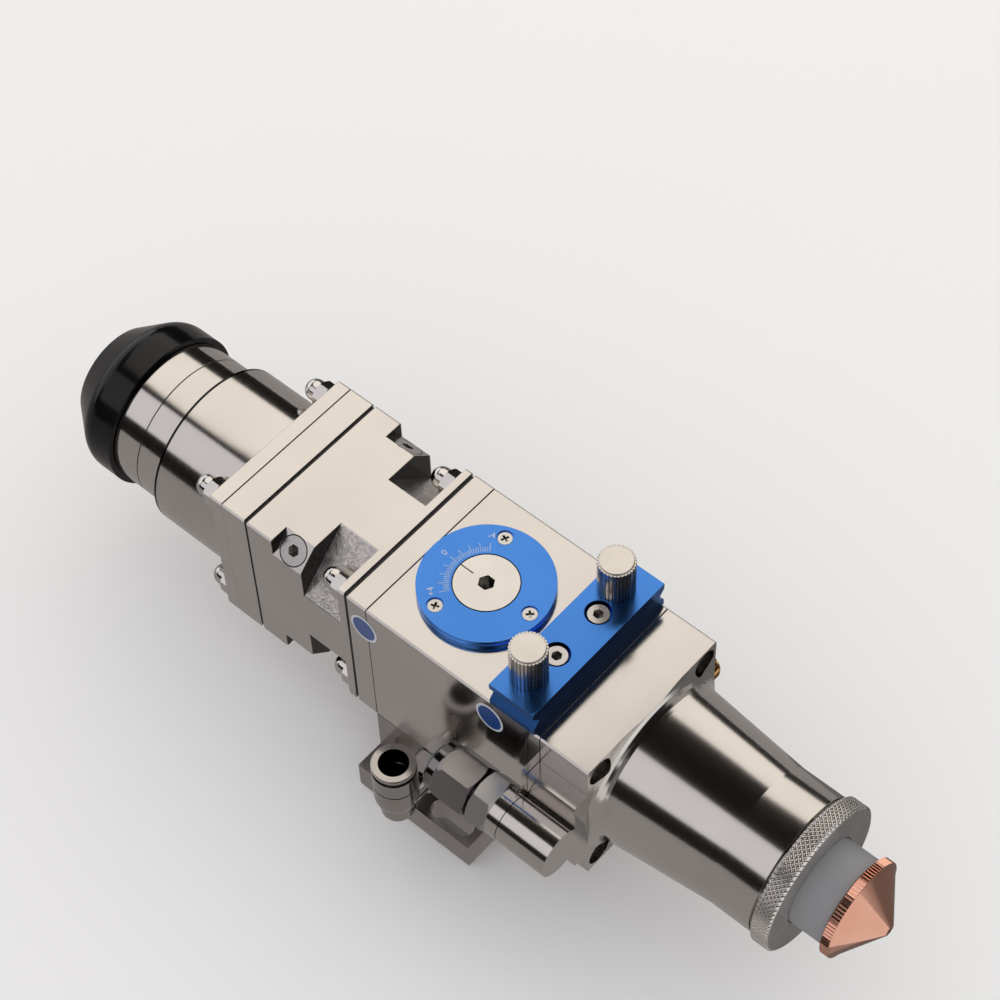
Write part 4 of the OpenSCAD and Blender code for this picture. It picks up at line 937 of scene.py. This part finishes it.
@dataclass
class Head:
    """The CAD nodes of the cutting head and the finish of each."""

    finishes: dict[Plating, tuple[str, ...]] = field(default_factory=lambda: {
        Plating.GROUND: ("main_body", "nozzle_body", "adapter_plate"),
        Plating.SHADED_BRACKET: ("mounting_bracket",),
        Plating.POCKETED: ("centring_block",),
        Plating.CROSS_GROUND: ("centring_cover", "window_plate"),
        Plating.BARREL: ("collimator_barrel",),
        Plating.TURNED: ("receiver_sleeve", "lock_ring", "window_retainer", "retaining_nut"),
        Plating.KNOB: ("focus_knob",),
        Plating.THUMB_LEFT: ("thumb_screw_left",),
        Plating.THUMB_RIGHT: ("thumb_screw_right",),
        Plating.ELBOW: ("elbow_body", "elbow_collar"),
        Plating.CAP_NUT: ("flange_cap_nuts", "block_cap_nuts"),
        Plating.BLUE: ("scale_ring", "drawer_bar"),
        Plating.BLACK: ("dust_cap",),
        Plating.SEAL: ("cover_gasket", "adapter_joint", "window_seal"),
        Plating.DARK: (
            "lens_cell", "lens_retainer", "focus_lens_holder", "focus_lens_retainer", "drawer_tray",
        ),
        Plating.STEEL: (
            "centring_screw_a", "centring_screw_b", "spring_plungers", "flange_studs", "block_studs",
            "scale_ring_screws", "drawer_bar_screws", "nozzle_body_screws", "bracket_screws", "elbow_stem",
        ),
        Plating.FITTING: ("gas_fitting_nut",),
        Plating.SMOKED: ("gas_fitting_body",),
        Plating.COPPER: ("nozzle",),
        Plating.CERAMIC: ("ceramic_ring",),
        Plating.GOLD: ("sensor_connector", "slide_washer"),
        Plating.GREEN: ("gas_fitting_collar",),
        Plating.GLASS: ("collimating_lens", "focus_lens", "protective_window"),
    })

    def dress(self) -> None:
        """Gives every node its finish."""
        for plating, names in self.finishes.items():
            for name in names:
                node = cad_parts[name]
                node.data.materials.clear()
                node.data.materials.append(plating.value.material())
                LOG.info("%s gets %s", name, plating.value.name)


@dataclass(frozen=True)
class Card:
    """Flat card that the camera doesn't see: a softbox, a dark flag, or a grey sheet that paints the floor's light
    and shade into reflections.
    """

    name: str
    corners: tuple[Point, ...]
    colour: Colour
    strength: float
    lights: bool = False

    def build(self) -> None:
        """Adds the card to the stage. Only a card that lights is seen by matt surfaces."""
        made = bpy.data.objects.new(self.name, mesh_of(self.name, self.corners, [(0, 1, 2, 3)]))
        bpy.context.scene.collection.objects.link(made)
        material = bpy.data.materials.new(self.name)
        material.use_nodes = True
        graph = Graph(material.node_tree)
        glow = graph.node("ShaderNodeEmission", None, {"Color": self.colour, "Strength": self.strength})
        graph.node("ShaderNodeOutputMaterial", None, {"Surface": glow})
        made.data.materials.append(material)
        made.visible_camera = False
        made.visible_shadow = False
        made.visible_diffuse = self.lights


def upright(axis: int, at: float, span: tuple[float, float], z: tuple[float, float]) -> tuple[Point, ...]:
    """Corners of a wall across X or Y.

    Args:
        axis: 0 for a wall across X and 1 for one across Y.
        at: its place on that axis, in millimetres.
        span: its ends along the other axis.
        z: its foot and its top.

    Returns:
        The four corners.
    """
    ends = ((span[0], z[0]), (span[1], z[0]), (span[1], z[1]), (span[0], z[1]))
    return tuple((at, s, h) if axis == 0 else (s, at, h) for s, h in ends)


def level(x: tuple[float, float], y: tuple[float, float], z: float) -> tuple[Point, ...]:
    """Corners of a level rectangle.

    Args:
        x: its ends along X, in millimetres.
        y: its ends along Y.
        z: its height.

    Returns:
        The four corners.
    """
    return (x[0], y[0], z), (x[1], y[0], z), (x[1], y[1], z), (x[0], y[1], z)


FLAG: Colour = (1.0, 0.85, 0.75)
FILL: Colour = (1.0, 0.95, 0.9)
FLAG_LIGHT = 0.01


@dataclass
class Studio:
    """Floor, cards, world and the photograph's camera."""

    eye: Point = (0.261144, -0.275233, 0.642726)
    azimuth: float = 42.943
    elevation: float = 54.347
    roll: float = 2.349
    lens: float = 96.96
    floor_colour: Colour = (0.93, 0.93, 0.93)
    floor_half: float = 6000.0
    floor_z: float = -0.8
    mottle_share: float = 0.985
    matt_light: float = 0.9
    cards: tuple[Card, ...] = (
        Card(
            "top_softbox", ((-600, -300, 928), (46, 720, 808), (156, 940, 177), (-741, 690, 487)),
            (1.0, 0.936, 0.86), 1.18, True,
        ),
        Card(
            "side_softbox", ((-800, -345, 845), (200, -390, 885), (200, -790, 369), (-800, -720, 341)),
            (0.995, 0.96, 1.0), 0.85, True,
        ),
        Card("ceiling_flag", level((-1500, 1500), (-1500, 1500), 1150), FLAG, FLAG_LIGHT),
        Card("near_flag", upright(1, -980, (-1500, 1500), (0, 1150)), FLAG, FLAG_LIGHT),
        Card("far_flag", upright(1, 1150, (-1500, 1500), (0, 1150)), FLAG, FLAG_LIGHT),
        Card("front_flag", upright(0, 800, (-1500, 1500), (350, 1150)), FLAG, FLAG_LIGHT),
        # painted shade and light: sheets seen only in reflections stand for the floor, grey in the object's shadow,
        # darker still close by, brighter ahead
        Card("floor_reflected_shade", level((-900, 900), (-900, 900), -0.4), (1.0, 0.945, 0.914), 0.327),
        Card("floor_shadow", level((62, 500), (-8, 500), -0.2), (1.0, 0.96, 0.94), 0.16),
        Card(
            "floor_ahead", ((150, -500, -0.1), (900, -500, -0.1), (900, 200, -0.1), (150, 20, -0.1)),
            (1.0, 0.97, 0.95), 0.8,
        ),
        Card("fill_0", level((160, 300), (400, 1100), 1140), FILL, 0.3),
        Card("fill_1", upright(0, 790, (650, 1140), (350, 1100)), FILL, 0.4),
        Card("fill_2", upright(0, 790, (-970, -300), (350, 1100)), FILL, 0.2),
        Card("fill_3", upright(1, 1140, (250, 790), (0, 1100)), FILL, 0.4),
        Card("fill_4", upright(1, -970, (350, 790), (0, 1100)), FILL, 0.2),
    )

    def camera(self) -> None:
        """Camera at the photograph's place and angle."""
        data = bpy.data.cameras.new("camera")
        data.lens, data.sensor_width, data.clip_start = self.lens, 36.0, 0.01
        made = bpy.data.objects.new("camera", data)
        bpy.context.scene.collection.objects.link(made)
        az, el, roll = (math.radians(a) for a in (self.azimuth, self.elevation, self.roll))
        ahead = Vector((-math.sin(az) * math.cos(el), math.cos(az) * math.cos(el), -math.sin(el)))
        right = Vector((math.cos(az), math.sin(az), 0.0))
        down = ahead.cross(right)
        level = right * math.cos(roll) + down * math.sin(roll)
        drop = down * math.cos(roll) - right * math.sin(roll)
        turn = Matrix((level, -drop, -ahead)).transposed()
        made.matrix_world = Matrix.Translation(self.eye) @ turn.to_4x4()
        bpy.context.scene.camera = made

    def floor(self) -> None:
        """Pale floor with a faint mottle."""
        ends = (-self.floor_half, self.floor_half)
        corners = level(ends, ends, self.floor_z)
        made = bpy.data.objects.new("floor", mesh_of("floor", corners, [(0, 1, 2, 3)]))
        bpy.context.scene.collection.objects.link(made)
        material = bpy.data.materials.new("pale_floor")
        material.use_nodes = True
        graph = Graph(material.node_tree)
        mottle = graph.noise(graph.place(), 6.0, 2.0)
        darker = tuple(self.mottle_share * c for c in self.floor_colour)
        shader = graph.node(
            "ShaderNodeBsdfDiffuse", None, {"Color": graph.mix(mottle, self.floor_colour, darker)}
        )
        graph.node("ShaderNodeOutputMaterial", None, {"Surface": shader})
        made.data.materials.append(material)

    def world(self) -> None:
        """Pale surroundings, plain light on matt surfaces."""
        made = bpy.data.worlds.new("studio")
        bpy.context.scene.world = made
        made.use_nodes = True
        graph = Graph(made.node_tree)
        rays = [
            graph.node("ShaderNodeLightPath", None, None, name)
            for name in ("Is Camera Ray", "Is Glossy Ray", "Is Transmission Ray")
        ]
        seen = rays[0].most(rays[1]).most(rays[2])
        light = self.matt_light + seen * (1.0 - self.matt_light)
        back = graph.node("ShaderNodeBackground", None, {"Color": (1.0, 1.0, 1.0), "Strength": light})
        graph.node("ShaderNodeOutputWorld", None, {"Surface": back})

    def dress(self) -> None:
        """Sets up the whole studio."""
        bpy.context.scene.view_settings.view_transform = "Standard"
        self.camera()
        self.floor()
        self.world()
        for card in self.cards:
            card.build()
            LOG.info("%s is on the stage", card.name)


def main() -> None:
    """Dresses the frame, adds the fine pieces and sets the studio."""
    logging.basicConfig(level=logging.INFO, format="%(name)s: %(message)s")
    for assembly in (Studio(), Head(), KnurledNut(), DialMarks(), SideLabels()):
        assembly.dress()


if __name__ == "__main__":
    main()
